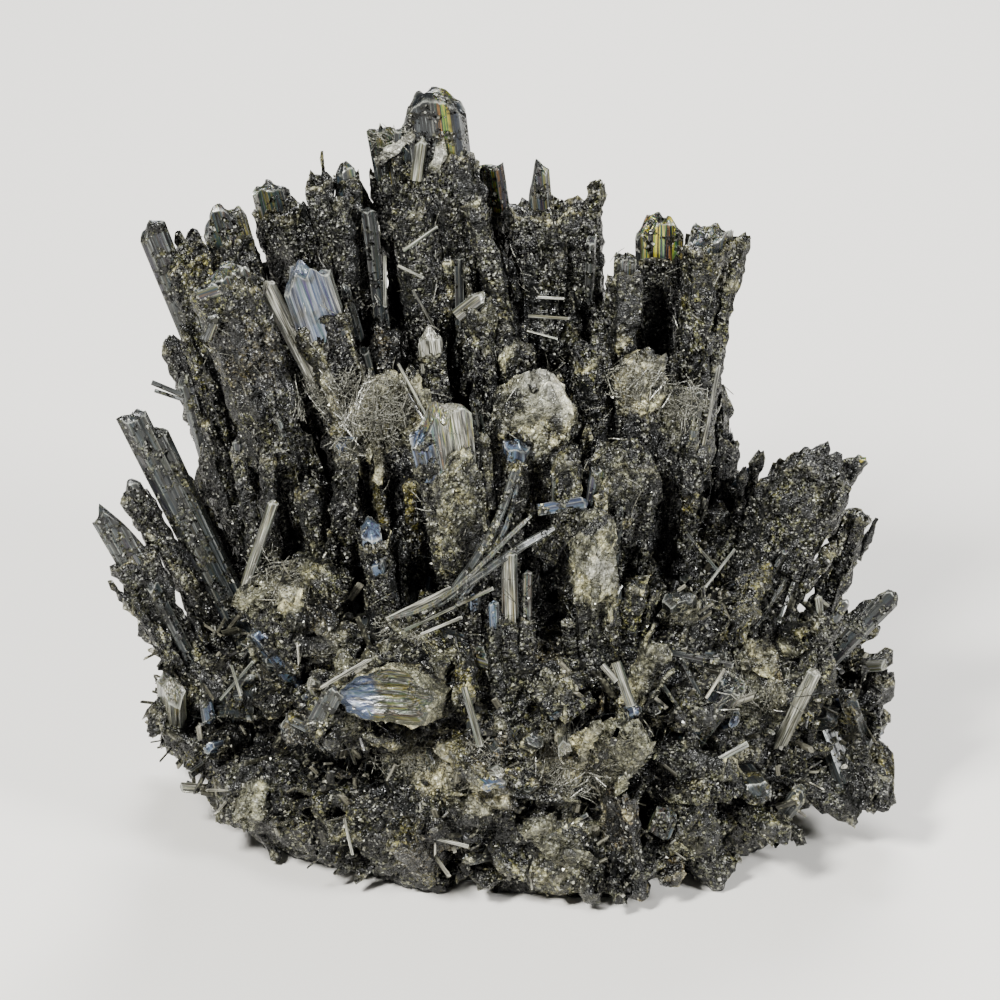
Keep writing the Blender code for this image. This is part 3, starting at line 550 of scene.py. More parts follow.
def addSugar(tree, place, coat):
    # the grains of a druse crust: their colour, roughness and the way each one's face is turned
    look = druseLook
    grains = addNode(tree, "TexVoronoi", {"Vector": place, "Scale": look["grainsPerMm"]}, None).outputs
    chance = addNode(tree, "SeparateXYZ", (grains["Color"],), None).outputs
    knotGapShade = addNode(tree, "TexVoronoi", {"Vector": place, "Scale": look["lumpsPerMm"]}, "Distance")
    patches = addNode(tree, "TexNoise", {"Vector": place, "Scale": look["patchesPerMm"], "Detail": 6.0})
    # a pale coat is thicker, so less of the dark crystal shows through
    thin = addNode(tree, "MapRange", (coat, 0.2, 0.65, 1.0, 0.58))
    # brighter where the grains are packed and clean
    bloom = addNode(tree, "MapRange", (patches, 0.54, 0.66, 1.0, 2.4))
    colour = addNode(tree, "VectorMath", {0: coat, "Scale": bloom}, operation="SCALE")
    # the knot ramp darkens the gaps between knots as painted shade
    for amount, tones in ((patches, "stains"), (knotGapShade, "knotGapShade"), (chance[0], "grains")):
        shade = addNode(tree, "ValToRGB", (amount,), stops=look[tones])
        colour = addNode(tree, "Mix", {0: thin, 6: colour, 7: shade}, 2, data_type="RGBA", blend_type="MULTIPLY")
    pale = addNode(tree, "MapRange", (chance[1], 0.88, 0.96, 0.0, 0.8))
    pale = addNode(tree, "Math", (pale, patches), operation="MULTIPLY", use_clamp=True)
    lean = addNode(tree, "VectorMath", (grains["Color"], (0.5, 0.5, 0.5)), operation="SUBTRACT")
    return {
        "colour": addNode(tree, "Mix", {0: pale, 6: colour, 7: linear(look["palest"])}, 2, data_type="RGBA"),
        "roughness": addNode(tree, "MapRange", (chance[2], 0.0, 1.0, 0.14, 0.55)),
        "lean": addNode(tree, "VectorMath", {0: lean, "Scale": look["grainTilt"]}, operation="SCALE"),
        "height": grains["Distance"],
        "chance": chance[1],
        "thin": thin,
    }


def makeDruse():
    # a crust of tiny quartz and stibnite crystals, as grown: gritty, each grain turned and glossy in its own way so
    # that it glitters, black where it is missing, with painted shade in the gaps between its knots where the dark
    # crystal also shows through, in a coat tinted crystal by crystal and darkened deep between crystals and in the
    # root's hollows as painted shade
    look = druseLook
    material, tree = newMaterial("druse crust, as grown")
    place = addNode(tree, "Attribute", {}, "Vector", attribute_name="ownPlace")
    coat = addNode(tree, "Attribute", {}, "Color", attribute_name="coat")
    crusted = addNode(tree, "Attribute", {}, "Fac", attribute_name="crusted")  # 0 on the cut base
    sugar = addSugar(tree, place, coat)
    along = addNode(tree, "VectorMath", (place, (1, 1, look["wornStretch"])), operation="MULTIPLY")
    missing = addNode(tree, "TexNoise", {"Vector": along, "Scale": look["wornPerMm"], "Detail": 5.0})
    worn = addNode(tree, "MapRange", (missing, look["wornFrom"], look["wornFrom"] + 0.03, 0.0, 0.9))
    worn = addNode(tree, "Math", (worn, sugar["thin"]), operation="MULTIPLY")
    kept = addNode(tree, "MapRange", (worn, 0.0, 1.0, 1.0, 0.15))
    kept = addNode(tree, "Math", (kept, crusted), operation="MULTIPLY")
    waves = {
        "Vector": addNode(tree, "TexCoord", {}, "Object"),
        "Scale": look["sawMarksPerMm"] / mm * math.tau / 20,  # the node draws 20 / tau bands to a unit
        "Distortion": 3.0,
        "Detail": 2.0,
        "Detail Scale": 2.0,
    }
    saw = addNode(tree, "TexWave", waves, "Fac", bands_direction="X")  # the marks the saw left across the base
    saw = addNode(tree, "Math", (saw, look["sawDepth"]), operation="MULTIPLY")
    relief = {
        "Strength": 1.0,
        "Distance": look["bumpDepth"] * mm,
        "Height": addNode(tree, "Mix", {0: crusted, 2: saw, 3: sugar["height"]}, data_type="FLOAT"),
        "Normal": turnedFace(tree, sugar["lean"], kept),
    }
    under = linear(look["under"])
    sockets = {
        "Base Color": addNode(tree, "Mix", {0: worn, 6: sugar["colour"], 7: under}, 2, data_type="RGBA"),
        "Roughness": sugar["roughness"],
        "Metallic": addNode(tree, "MapRange", (sugar["chance"], 0.45, 0.5, 0.0, 0.35)),
        "Normal": addNode(tree, "Bump", relief, invert=True),
    }
    return finishMaterial(material, sockets)


striatedLook = {
    "stripesPerMm": 6.5,  # fine growth striations, 0.15 mm apart
    "bandsPerMm": 1.1,  # broad bands of tarnish, under a millimetre wide
    "stretch": 0.03,  # how much slower everything changes along a crystal than across it
    "cloudsPerMm": 0.35,  # patches where the tarnish is thinner, about 3 mm across
    "crustPerMm": 0.5,  # patches of druse left on it
    "crustFrom": 0.51,  # lower for more of them
    "bumpDepth": 0.04,  # mm
    # painted highlight along the crystal's edges and round its tip
    "edge": "#a9aba3",
    "grey": ((0.3, "#060707"), (0.52, "#141617"), (0.62, "#272a2b"), (0.7, "#54595a"), (0.8, "#a0a29f")),
    "gold": (
        (0.40, "#14140e"),
        (0.435, "#6f6a1e"),
        (0.465, "#cdb52f"),
        (0.495, "#7d9c30"),
        (0.525, "#2c6438"),
        (0.55, "#15150f"),
        (0.60, "#1a1a12"),
        (0.63, "#a0702c"),
        (0.67, "#16160f"),
    ),
    "blue": (
        (0.34, "#0c1018"),
        (0.44, "#202e50"),
        (0.5, "#304164"),
        (0.55, "#5b6a80"),
        (0.6, "#24464e"),
        (0.68, "#383060"),
    ),
    "pale": ((0.38, "#23231f"), (0.47, "#5d5c50"), (0.55, "#a3a192"), (0.66, "#e9e8de")),
}


def makeStriated():
    # stibnite, grown bare: a lead-grey to glassy black prism that flashes along fine lengthwise striations, with
    # thin films of gold, green and blue where the surface has tarnished, painted highlights along its edges and
    # round its tip, and patches of druse on it
    look = striatedLook
    material, tree = newMaterial("stibnite, as grown, striated")
    place = addNode(tree, "Attribute", {}, "Vector", attribute_name="ownPlace")
    coat = addNode(tree, "Attribute", {}, "Color", attribute_name="coat")
    tarnish = addNode(tree, "Attribute", {}, "Vector", attribute_name="tarnish")
    rim = addNode(tree, "Attribute", {}, "Fac", attribute_name="rim")
    gold, blue, pale = addNode(tree, "SeparateXYZ", (tarnish,), None).outputs
    stretched = addNode(tree, "VectorMath", (place, (1, 1, look["stretch"])), operation="MULTIPLY")
    stripes = addNode(tree, "TexNoise", {"Vector": stretched, "Scale": look["stripesPerMm"], "Detail": 3.0})
    bands = addNode(tree, "TexNoise", {"Vector": stretched, "Scale": look["bandsPerMm"], "Detail": 2.0})
    clouds = addNode(tree, "TexNoise", {"Vector": place, "Scale": look["cloudsPerMm"], "Detail": 4.0})
    patchy = addNode(tree, "MapRange", (clouds, 0.36, 0.5, 0.15, 1.0))
    colour = addNode(tree, "ValToRGB", (stripes,), stops=look["grey"])
    for film, amount in (("blue", blue), ("gold", gold)):
        amount = addNode(tree, "Math", (amount, patchy), operation="MULTIPLY", use_clamp=True)
        film = addNode(tree, "ValToRGB", (bands,), stops=look[film])
        colour = addNode(tree, "Mix", {0: amount, 6: colour, 7: film}, 2, data_type="RGBA")
    silver = addNode(tree, "ValToRGB", (stripes,), stops=look["pale"])
    colour = addNode(tree, "Mix", {0: pale, 6: colour, 7: silver}, 2, data_type="RGBA")
    # painted highlight: the edges and the outline of the tip are lightened
    edge = addNode(tree, "Math", (rim, 2.0), operation="POWER")
    edge = addNode(tree, "Math", (edge, patchy), operation="MULTIPLY", use_clamp=True)
    edge = addNode(tree, "Math", (edge, 0.7), operation="MULTIPLY")
    colour = addNode(tree, "Mix", {0: edge, 6: colour, 7: linear(look["edge"])}, 2, data_type="RGBA")
    sugar = addSugar(tree, place, coat)
    left = addNode(tree, "TexNoise", {"Vector": place, "Scale": look["crustPerMm"], "Detail": 7.0, "Roughness": 0.65})
    covered = addNode(tree, "MapRange", (left, look["crustFrom"], look["crustFrom"] + 0.02, 0.0, 0.95))
    clean = addNode(tree, "MapRange", (pale, 0.05, 0.12, 1.0, 0.0))
    covered = addNode(tree, "Math", (covered, clean), operation="MULTIPLY")
    roughness = addNode(tree, "MapRange", (stripes, 0.3, 0.7, 0.42, 0.16))
    raised = addNode(tree, "Math", (covered, 4.0), operation="MULTIPLY")
    relief = {
        "Strength": 0.7,
        "Distance": look["bumpDepth"] * mm,
        "Height": addNode(tree, "Math", (stripes, raised), operation="ADD"),
        "Normal": turnedFace(tree, sugar["lean"], covered),
    }
    sockets = {
        "Base Color": addNode(tree, "Mix", {0: covered, 6: colour, 7: sugar["colour"]}, 2, data_type="RGBA"),
        "Roughness": addNode(tree, "Mix", {0: covered, 2: roughness, 3: sugar["roughness"]}, data_type="FLOAT"),
        "Metallic": addNode(tree, "MapRange", (pale, 0.0, 0.6, 0.3, 0.12)),
        "Normal": addNode(tree, "Bump", relief),
    }
    return finishMaterial(material, sockets)


grainLook = {
    "tones": ((0.0, "#141412"), (0.45, "#3a3a33"), (0.8, "#67665a"), (0.94, "#8f8d7f"), (0.99, "#d6d4c8")),
    # the coat, and with it the painted gap shade, passes to the grains
    "coatShare": 0.45,  # how far a grain takes the colour of the coat it stands on
    "veil": "#2e2e28",
    "wearPerMm": 0.7,
    "metallic": 0.15,
}


def makeGrains():
    # single druse crystals standing on the crust, as grown: small, glossy, from near black to clear white
    look = grainLook
    material, tree = newMaterial("druse grains, as grown")
    tone = addNode(tree, "Attribute", {}, "Fac", attribute_name="grainTone")
    coat = addNode(tree, "Attribute", {}, "Color", attribute_name="coat")
    place = addNode(tree, "TexCoord", {}, "Object")
    shade = addNode(tree, "ValToRGB", (tone,), stops=look["tones"])
    wear = addNode(tree, "TexNoise", {"Vector": place, "Scale": look["wearPerMm"] / mm})
    veil = addNode(tree, "MapRange", (wear, 0.35, 0.65, 0.0, 0.4))
    colour = addNode(tree, "Mix", {0: look["coatShare"], 6: shade, 7: coat}, 2, data_type="RGBA")
    sockets = {
        "Base Color": addNode(tree, "Mix", {0: veil, 6: colour, 7: linear(look["veil"])}, 2, data_type="RGBA"),
        "Roughness": addNode(tree, "MapRange", (wear, 0.3, 0.7, 0.12, 0.5)),
        "Metallic": look["metallic"],
    }
    return finishMaterial(material, sockets)


splinterLook = {
    "tones": (
        (0.0, "#131313"),
        (0.35, "#2b2b28"),
        (0.6, "#4c4b40"),
        (0.78, "#737061"),
        (0.92, "#9e9b89"),
        (1.0, "#e0ddcd"),
    ),
    "streaks": ((0.35, "#3c3c3c"), (0.5, "#9c9c9c"), (0.68, "#ffffff")),
    "dust": "#84836f",
    "stripesPerMm": 5.0,
    "stretch": 0.05,
    "specksPerMm": 2.4,
    "bumpDepth": 0.08,  # mm
    "metallic": 0.4,
}


def makeSplinters():
    # broken stibnite, snapped and frayed: dull grey to silky brown blades with bright cleaved faces
    look = splinterLook
    material, tree = newMaterial("broken stibnite, cleaved")
    place = addNode(tree, "Attribute", {}, "Vector", attribute_name="ownPlace")
    tone = addNode(tree, "Attribute", {}, "Fac", attribute_name="grainTone")
    stretched = addNode(tree, "VectorMath", (place, (1, 1, look["stretch"])), operation="MULTIPLY")
    stripes = addNode(tree, "TexNoise", {"Vector": stretched, "Scale": look["stripesPerMm"], "Detail": 3.0})
    specks = addNode(tree, "TexNoise", {"Vector": place, "Scale": look["specksPerMm"], "Detail": 6.0})
    base = addNode(tree, "ValToRGB", (tone,), stops=look["tones"])
    streak = addNode(tree, "ValToRGB", (stripes,), stops=look["streaks"])
    colour = addNode(tree, "Mix", {0: 0.85, 6: base, 7: streak}, 2, data_type="RGBA", blend_type="MULTIPLY")
    dust = addNode(tree, "MapRange", (specks, 0.56, 0.62, 0.0, 0.6))
    sockets = {
        "Base Color": addNode(tree, "Mix", {0: dust, 6: colour, 7: linear(look["dust"])}, 2, data_type="RGBA"),
        "Roughness": addNode(tree, "MapRange", (specks, 0.35, 0.65, 0.2, 0.6)),
        "Normal": addNode(tree, "Bump", {"Strength": 0.6, "Distance": look["bumpDepth"] * mm, "Height": stripes}),
        "Metallic": look["metallic"],
    }
    return finishMaterial(material, sockets)


striated, druse, grainStone, splinterStone = makeStriated(), makeDruse(), makeGrains(), makeSplinters()
crystalStones = (druse, striated, grainStone)
print("materials made")


# meshes from arrays, in millimetres
def newParts():
    return {name: [] for name in ("points", "faces", "kinds", *pointValues)}


def addShell(parts, rings, bottom, top, placed, extras):
    # rings of points, closed below by a fan and above by a fan
    count = len(rings[0])
    start = sum(len(points) for points in parts["points"])
    points = np.concatenate([*rings, bottom[None], top[None]])
    ringCount = len(rings)
    low, high = start + ringCount * count, start + ringCount * count + 1
    step = np.arange(count)
    after = (step + 1) % count
    faces = []
    for ring in range(ringCount - 1):
        here, above = start + ring * count, start + (ring + 1) * count
        faces += np.stack([here + step, here + after, above + after, above + step], axis=1).tolist()
    last = start + (ringCount - 1) * count
    faces += [(start + b, start + a, low) for a, b in zip(step, after)]
    faces += [(last + a, last + b, high) for a, b in zip(step, after)]
    parts["points"].append(points @ np.array(placed.to_3x3()).T + np.array(placed.translation))
    parts["faces"] += faces
    kinds = np.broadcast_to(extras["kind"], ringCount - 1)  # one finish, or one for each ring of faces
    parts["kinds"] += [*np.repeat(kinds, count), *[kinds[0]] * count, *[kinds[-1]] * count]
    parts["ownPlace"].append(extras.get("ownPlace", points) + np.array(extras["shift"]))
    for name, width in (("crusted", 1), ("coat", 4), ("tarnish", 3)):
        parts[name].append(np.broadcast_to(np.reshape(extras[name], (-1, width)), (len(points), width)))
    parts["rim"].append(extras.get("rim", np.zeros(len(points))))


pointValues = {
    "crusted": "FLOAT",
    "rim": "FLOAT",
    "ownPlace": "FLOAT_VECTOR",
    "tarnish": "FLOAT_VECTOR",
    "coat": "FLOAT_COLOR",
}


def setPointValues(mesh, name, values):
    layer = mesh.attributes.new(name, pointValues[name], "POINT")
    field = {"FLOAT": "value", "FLOAT_VECTOR": "vector", "FLOAT_COLOR": "color"}[pointValues[name]]
    layer.data.foreach_set(field, np.asarray(values, np.float32).ravel())


def readPoints(mesh):
    points = np.empty(len(mesh.vertices) * 3, np.float32)
    mesh.vertices.foreach_get("co", points)
    return points.reshape(-1, 3)


def newObject(name, data):
    obj = bpy.data.objects.new(name, data)
    bpy.context.scene.collection.objects.link(obj)
    return obj


def meshFrom(name, parts, gapShaded=True):
    mesh = bpy.data.meshes.new(name)
    points = np.concatenate(parts["points"])
    mesh.from_pydata((points * mm).tolist(), [], parts["faces"])
    mesh.polygons.foreach_set("material_index", np.array(parts["kinds"], np.int32))
    for material in crystalStones:
        mesh.materials.append(material)
    coat = tinted(points, np.concatenate(parts["coat"]))
    for value in pointValues:
        setPointValues(mesh, value, coat if value == "coat" else np.concatenate(parts[value]))
    mesh.validate()
    # painted shade: the coat is darkened where other crystals close a point in
    if gapShaded:
        normals = np.empty(len(points) * 3, np.float32)
        mesh.vertex_normals.foreach_get("vector", normals)
        coat[:, :3] *= paintedGapShade(points, normals.reshape(-1, 3))
        mesh.attributes["coat"].data.foreach_set("color", coat.astype(np.float32).ravel())
    return newObject(name, mesh)


def ownShift(chance):
    # sets each crystal's pattern apart from its neighbours', in mm
    return [chance.uniform(-60, 60) for _ in range(3)]


def frameAt(foot, side, axis):
    placed = Matrix((side, axis.cross(side), axis)).transposed().to_4x4()
    placed.translation = foot
    return placed


# crystals
def outline(width, depth, spacing):
    # points round a section, every corner among them, each corner weighted for the painted edge highlight
    corners = section if width > stout else slenderSection
    corner = np.array(
        [
            (math.cos(math.radians(angle)) * width / 2 * reach, math.sin(math.radians(angle)) * depth / 2 * reach)
            for angle, reach in corners
        ]
    )
    points, edges = [], []
    for here, there in zip(corner, np.roll(corner, -1, axis=0)):
        steps = max(2, round(np.linalg.norm(there - here) / spacing))
        for step in range(steps):
            points.append(here + (there - here) * step / steps)
            # painted highlight: the corners get a weight that lightens bare crystal along its edges
            edges.append(0.6 if step == 0 else 0.0)
    return np.array(points), np.array(edges)


def topHeights(points, width, length, faces):
    heights = []
    for tilt, heading, lift in faces:
        tilt, heading = math.radians(tilt), math.radians(heading)
        way = np.array((math.cos(heading), math.sin(heading))) * math.tan(tilt)
        heights.append(length + lift * width / 2 - points @ way)
    return np.min(heights, axis=0)


def strips(count, spacing, widths, chance):
    # one random number for each of the strips that a striated side is made of
    values = []
    while len(values) < count:
        run = max(1, round(chance.uniform(*widths) / spacing))
        values += [chance.uniform(-1, 1)] * run
    return np.array(values[:count])


def standing(foot, tip, turn):
    axis = (tip - foot).normalized()
    side = axis.cross(toEye).normalized()
    return frameAt(foot, side, axis) @ Matrix.Rotation(math.radians(turn), 4, "Z")


rootTree = BVHTree.FromObject(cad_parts["root_mass"], bpy.context.evaluated_depsgraph_get())


def hiddenLength(foot, tip, width):
    # how much of a crystal lies deep inside the root
    axis, length = (tip - foot).normalized(), (tip - foot).length
    reached = 0.0
    while reached < length:
        point = (foot + axis * reached) * mm
        nearest, normal, _, distance = rootTree.find_nearest(point)
        if (point - nearest).dot(normal) > 0 or distance < width * 0.55 * mm:
            break
        reached += 0.5
    return max(0.0, reached - 1.0)


crystalLook = {
    "coatSpacing": 0.78,  # mm between the points of a coat
    "rearSpacing": 1.0,
    "coreSpacing": 0.28,
    "ridgeWidth": 1.3,  # lengthwise ridges in a coat, from the bundle of crystals under it
    "ridgeLength": 11.0,
    "ridgeDepth": 0.65,
    "bulgeSize": 4.5,
    "bulgeDepth": 0.8,
    "stripWidths": (0.25, 1.3),
    "stripDepth": 0.07,
    "stripDrop": 0.6,  # how unevenly the strips of a broken tip end
    "chipping": 1.5,
    "lipRoughness": 1.5,
    "lipPaleness": 0.6,
    "rimHeight": 0.3,
}


def tarnishAcross(stops, points, width):
    stops = np.array(stops)
    share = points[:, 0] / width + 0.5
    return np.stack([np.interp(share, stops[:, 0], stops[:, channel]) for channel in (1, 2, 3)], axis=1)


def growShell(parts, shape, start, end, width, depth, faces, coated, placed, length, chance):
    look = crystalLook
    footShare = shape["footShare"]
    spacing = shape.get("spacing", look["coatSpacing"]) if coated else min(look["coreSpacing"], width / 5)
    points, edges = outline(width, depth, spacing)
    middle = points.mean(axis=0)
    drop = np.zeros(len(points))
    chip = look["chipping"] * min(1, width / 6)
    if not coated:
        offset = strips(len(points), spacing, look["stripWidths"], chance) * look["stripDepth"]
        offset = np.minimum(offset, 0.12 * min(width, depth))
        points = points * (1 + offset / np.linalg.norm(points, axis=1))[:, None]
        drop = np.abs(strips(len(points), spacing, look["stripWidths"], chance)) * look["stripDrop"]
        drop *= min(1, width / 4)
    tops = topHeights(points, width, end, faces)
    if coated:
        rough = latticeNoise(np.c_[points * 0.8, np.full(len(points), chance.uniform(0, 99))], 3)
        tops = tops + rough * look["lipRoughness"]
    else:
        chips = chance.uniform(0, 99)
        tops = tops - drop + latticeNoise(np.c_[points * 0.7, np.full(len(points), chips)], 8) * chip
    tops = np.maximum(tops, start + 0.5)
    if coated:
        ringCount = max(3, round((tops.max() - start) / spacing))
        levels = [start + (tops - start) * ring / ringCount for ring in range(ringCount + 1)]
    else:
        under = np.maximum(tops - look["rimHeight"], start + 0.3)
        levels = [np.full(len(points), start), start + (under - start) * 0.5, under, tops]
    grain = chance.uniform(0, 99)
    out = points / np.linalg.norm(points, axis=1)[:, None]
    share = min(1, width / 7)
    rings, edgeHighlightWeights = [], []
    for number, heights in enumerate(levels):
        reach = footShare + (1 - footShare) * np.clip(heights / length, 0, 1)
        ring = points * reach[:, None]
        if coated:
            ridge = latticeNoise(np.c_[points / look["ridgeWidth"], heights / look["ridgeLength"] + grain], 5)
            bulge = latticeNoise(np.c_[points, heights + grain] / look["bulgeSize"], 6)
            ring = ring + out * (ridge * look["ridgeDepth"] + bulge * look["bulgeDepth"])[:, None] * share
        rings.append(np.c_[ring, heights])
        # painted highlight: the edges get their corner weights, and the top ring round the tip gets the full weight
        edgeHighlightWeights.append(edges if number < len(levels) - 1 else np.ones(len(points)))
    capSteps = max(2, round(width / 2 / max(spacing, 0.35)))
    if not coated:
        capSteps = min(capSteps, 5)
    capPoints = rings[-1][:, :2]
    for cap in range(1, capSteps):
        share = 1 - cap / capSteps
        inner = middle + (capPoints - middle) * share
        heights = topHeights(inner, width, end, faces)
        if coated:
            heights = heights + latticeNoise(np.c_[inner * 0.8, np.full(len(inner), start)], 4) * look["lipRoughness"]
        else:
            heights = heights - drop * share + latticeNoise(np.c_[inner * 0.7, np.full(len(inner), chips)], 8) * chip
        rings.append(np.c_[inner, np.maximum(heights, start + 0.5)])
        edgeHighlightWeights.append(np.zeros(len(points)))
    topHeight = max(float(topHeights(middle[None], width, end, faces)[0]), start + 0.5)
    ends = np.array([np.append(middle, start), np.append(middle, topHeight)])
    allPoints = np.concatenate([*rings, ends])
    coat = np.tile(linear(coats[shape["coat"]]), (len(allPoints), 1))
    if coated:
        lip = len(points) * (len(levels) - 1)
        lips = slice(lip, lip + len(points))
        coat[lips] += (np.array(linear(coats["cream"])) - coat[lips]) * look["lipPaleness"]
    extras = {
        "kind": 0 if coated else 1,
        "crusted": 1.0 if coated else 0.0,
        "coat": coat,
        "tarnish": tarnishAcross(tarnishes[shape["tarnish"]], allPoints, width),
        "shift": ownShift(chance),
        "rim": np.concatenate([*edgeHighlightWeights, [0, 0]]),
    }
    addShell(parts, rings, ends[0], ends[1], placed, extras)


def grow(parts, foot, tip, shape, chance):
    # one crystal from foot to tip: a coat, a bare prism, or a coat with a clean core that passes it
    width, depth, clean = shape["width"], shape["depth"], shape["clean"]
    faces = endings[shape["ending"]]
    length = (tip - foot).length
    placed = standing(foot, tip, shape["turn"])
    start = hiddenLength(foot, tip, width)
    if clean in (0, bare):
        growShell(parts, shape, start, length, width, depth, faces, clean == 0, placed, length, chance)
        return
    growShell(parts, shape, start, length - clean, width, depth, ledge, True, placed, length, chance)
    coreWidth, coreDepth = width - 2 * crust, depth - 2 * crust
    core = max(start, length - clean - coreStart)
    growShell(parts, shape, core, length, coreWidth, coreDepth, faces, False, placed, length, chance)


# smaller crystals that grew up the sides of a stout one, nearly along it
sideGrowth = {
    "spacing": 6.5,  # mm of the stout crystal's height for each
    "widths": (0.9, 2.6),
    "lengths": (4.0, 19.0),
    "lean": 0.16,  # how far they lean out
    "bareShare": 0.14,
}


def growSides(parts, foot, tip, shape, chance):
    look = sideGrowth
    axis, length = (tip - foot).normalized(), (tip - foot).length
    start = hiddenLength(foot, tip, shape["width"])
    placed = standing(foot, tip, shape["turn"]).to_3x3()
    top = length - (shape["clean"] if shape["clean"] != bare else 0)
    count = round((top - start) / look["spacing"] * shape["width"] / 7)
    for _ in range(count):
        width = chance.uniform(*look["widths"])
        reach = min(chance.uniform(*look["lengths"]), (top - start) * 0.6)
        low = chance.uniform(start, max(start + 0.1, top - reach * 0.85))
        turn = chance.uniform(0, math.tau)
        out = placed @ Vector((math.cos(turn), math.sin(turn), 0))
        side = shape["width"] * abs(math.cos(turn)) + shape["depth"] * abs(math.sin(turn))
        base = foot + axis * low + out * side * 0.42
        lean = out * chance.uniform(-0.02, look["lean"])
        lean += placed @ Vector((chance.uniform(-0.1, 0.1), chance.uniform(-0.1, 0.1), 0))
        child = {
            "width": width,
            "depth": width * chance.uniform(0.6, 0.95),
            "clean": bare if chance.random() < look["bareShare"] else 0,
            "ending": chance.choice(("square", "slant", "chisel", "ragged")),
            "turn": chance.uniform(0, 90),
            "footShare": 0.9,
            "coat": chance.choice((shape["coat"], shape["coat"], "dark", "grey", "olive")),
            "tarnish": chance.choice(("lead", "glass", "lead", "glass")),
            "spacing": shape["spacing"],
        }
        grow(parts, base, base + (axis + lean).normalized() * reach, child, chance)


def growRow(parts, row, chance, spacing):
    foot, tip = spot(*row[0]), spot(*row[1])
    names = ("width", "depth", "clean", "ending", "turn", "footShare", "coat", "tarnish")
    shape = dict(zip(names, row[2:])) | {"spacing": spacing}
    grow(parts, foot, tip, shape, chance)
    if shape["clean"] != bare and shape["width"] > 4:
        growSides(parts, foot, tip, shape, chance)


# the stout crystal that broke across, and shows a striated hollow with a lip of crust round it
brokenFace = {
    "around": 80,
    "sideRings": 12,
    "bowlRings": 16,
    "deep": 2.4,
    "lip": 0.9,
    "ridges": 0.24,
    "tarnish": (
        (0.0, 0.0, 0.75, 0.14),
        (0.3, 0.0, 0.9, 0.13),
        (0.37, 0.2, 0.0, 0.13),
        (0.75, 0.14, 0.0, 0.18),
        (1.0, 0.05, 0.2, 0.24),
    ),
}


def growBrokenFace(parts, row, chance):
    look = brokenFace
    foot, tip = spot(*row[0]), spot(*row[1])
    width, depth = row[2], row[3]
    axis, length = (tip - foot).normalized(), (tip - foot).length
    across = (Vector((1, 0, 0)) - axis * axis.x).normalized()
    placed = frameAt(foot, across, axis)
    turns = np.linspace(0, math.tau, look["around"], endpoint=False)
    circle = np.c_[np.cos(turns), np.sin(turns)]
    ragged = 1 + 0.22 * latticeNoise(np.c_[circle * 1.6, turns * 0], 51)
    ragged += 0.08 * latticeNoise(np.c_[circle * 5, turns * 0], 52)
    outer = circle * (width / 2, depth / 2) * ragged[:, None]
    lip = latticeNoise(np.c_[circle * 3, turns * 0], 53) * look["lip"]
    rings, kinds = [], []
    start = hiddenLength(foot, tip, depth)
    for level in np.linspace(0, 1, look["sideRings"]):
        heights = start + (length - start + lip) * level
        rings.append(np.c_[outer * (0.85 + 0.15 * level), heights])
        kinds.append(0)
    rings.append(np.c_[outer * 0.95, length + lip + 0.3])
    kinds.append(0)
    for level in np.linspace(0.87, 0.06, look["bowlRings"]):
        inner = outer * level
        sunk = look["deep"] * (1 - level**2)
        furrows = latticeNoise(np.c_[inner[:, 0] * 0.12, inner[:, 1] * 1.5, turns * 0], 54)
        furrows += 0.5 * latticeNoise(np.c_[inner[:, 0] * 0.2, inner[:, 1] * 3.6, turns * 0], 55)
        rings.append(np.c_[inner, length - 0.3 - sunk + furrows * look["ridges"] + lip * level**3])
        kinds.append(1)
    ends = np.array([(0, 0, start), (0, 0, length - 0.3 - look["deep"])])
    points = np.concatenate([*rings, ends])
    bowl = np.repeat((0.0, 1.0), ((look["sideRings"] + 1) * len(turns), look["bowlRings"] * len(turns)))
    bowl = np.append(bowl, (0, 1))  # 1 where it is broken, 0 where it is crusted
    extras = {
        "kind": kinds[1:],
        "crusted": 1 - bowl,
        "coat": linear(coats["cream"]),
        "tarnish": tarnishAcross(look["tarnish"], points, width),
        "ownPlace": np.where(bowl[:, None] > 0, points[:, (1, 2, 0)], points),
        "shift": ownShift(chance),
    }
    addShell(parts, rings, ends[0], ends[1], placed, extras)


# the druse: Geometry Nodes that roughen a coat and strew single grains over it
druseSettings = {
    "Lump Size": 2.2,
    "Lump Height": 0.52,
    "Grain Size": 1.2,
    "Grain Height": 0.4,
    "Grains Per Square Mm": 0.345,
    "Smallest Grain": 0.09,
    "Largest Grain": 0.24,
}


def newTree(name, floats):
    tree = bpy.data.node_groups.new(name, "GeometryNodeTree")
    sockets = [("Geometry", "Geometry"), *[(label, "Float") for label in floats], ("Seed", "Int")]
    for label, kind in sockets:
        tree.interface.new_socket(label, in_out="INPUT", socket_type=f"NodeSocket{kind}")
    tree.interface.new_socket("Geometry", in_out="OUTPUT", socket_type="NodeSocketGeometry")
    return tree, addNode(tree, "NodeGroupInput", (), None).outputs, addNode(tree, "NodeGroupOutput", (), None)


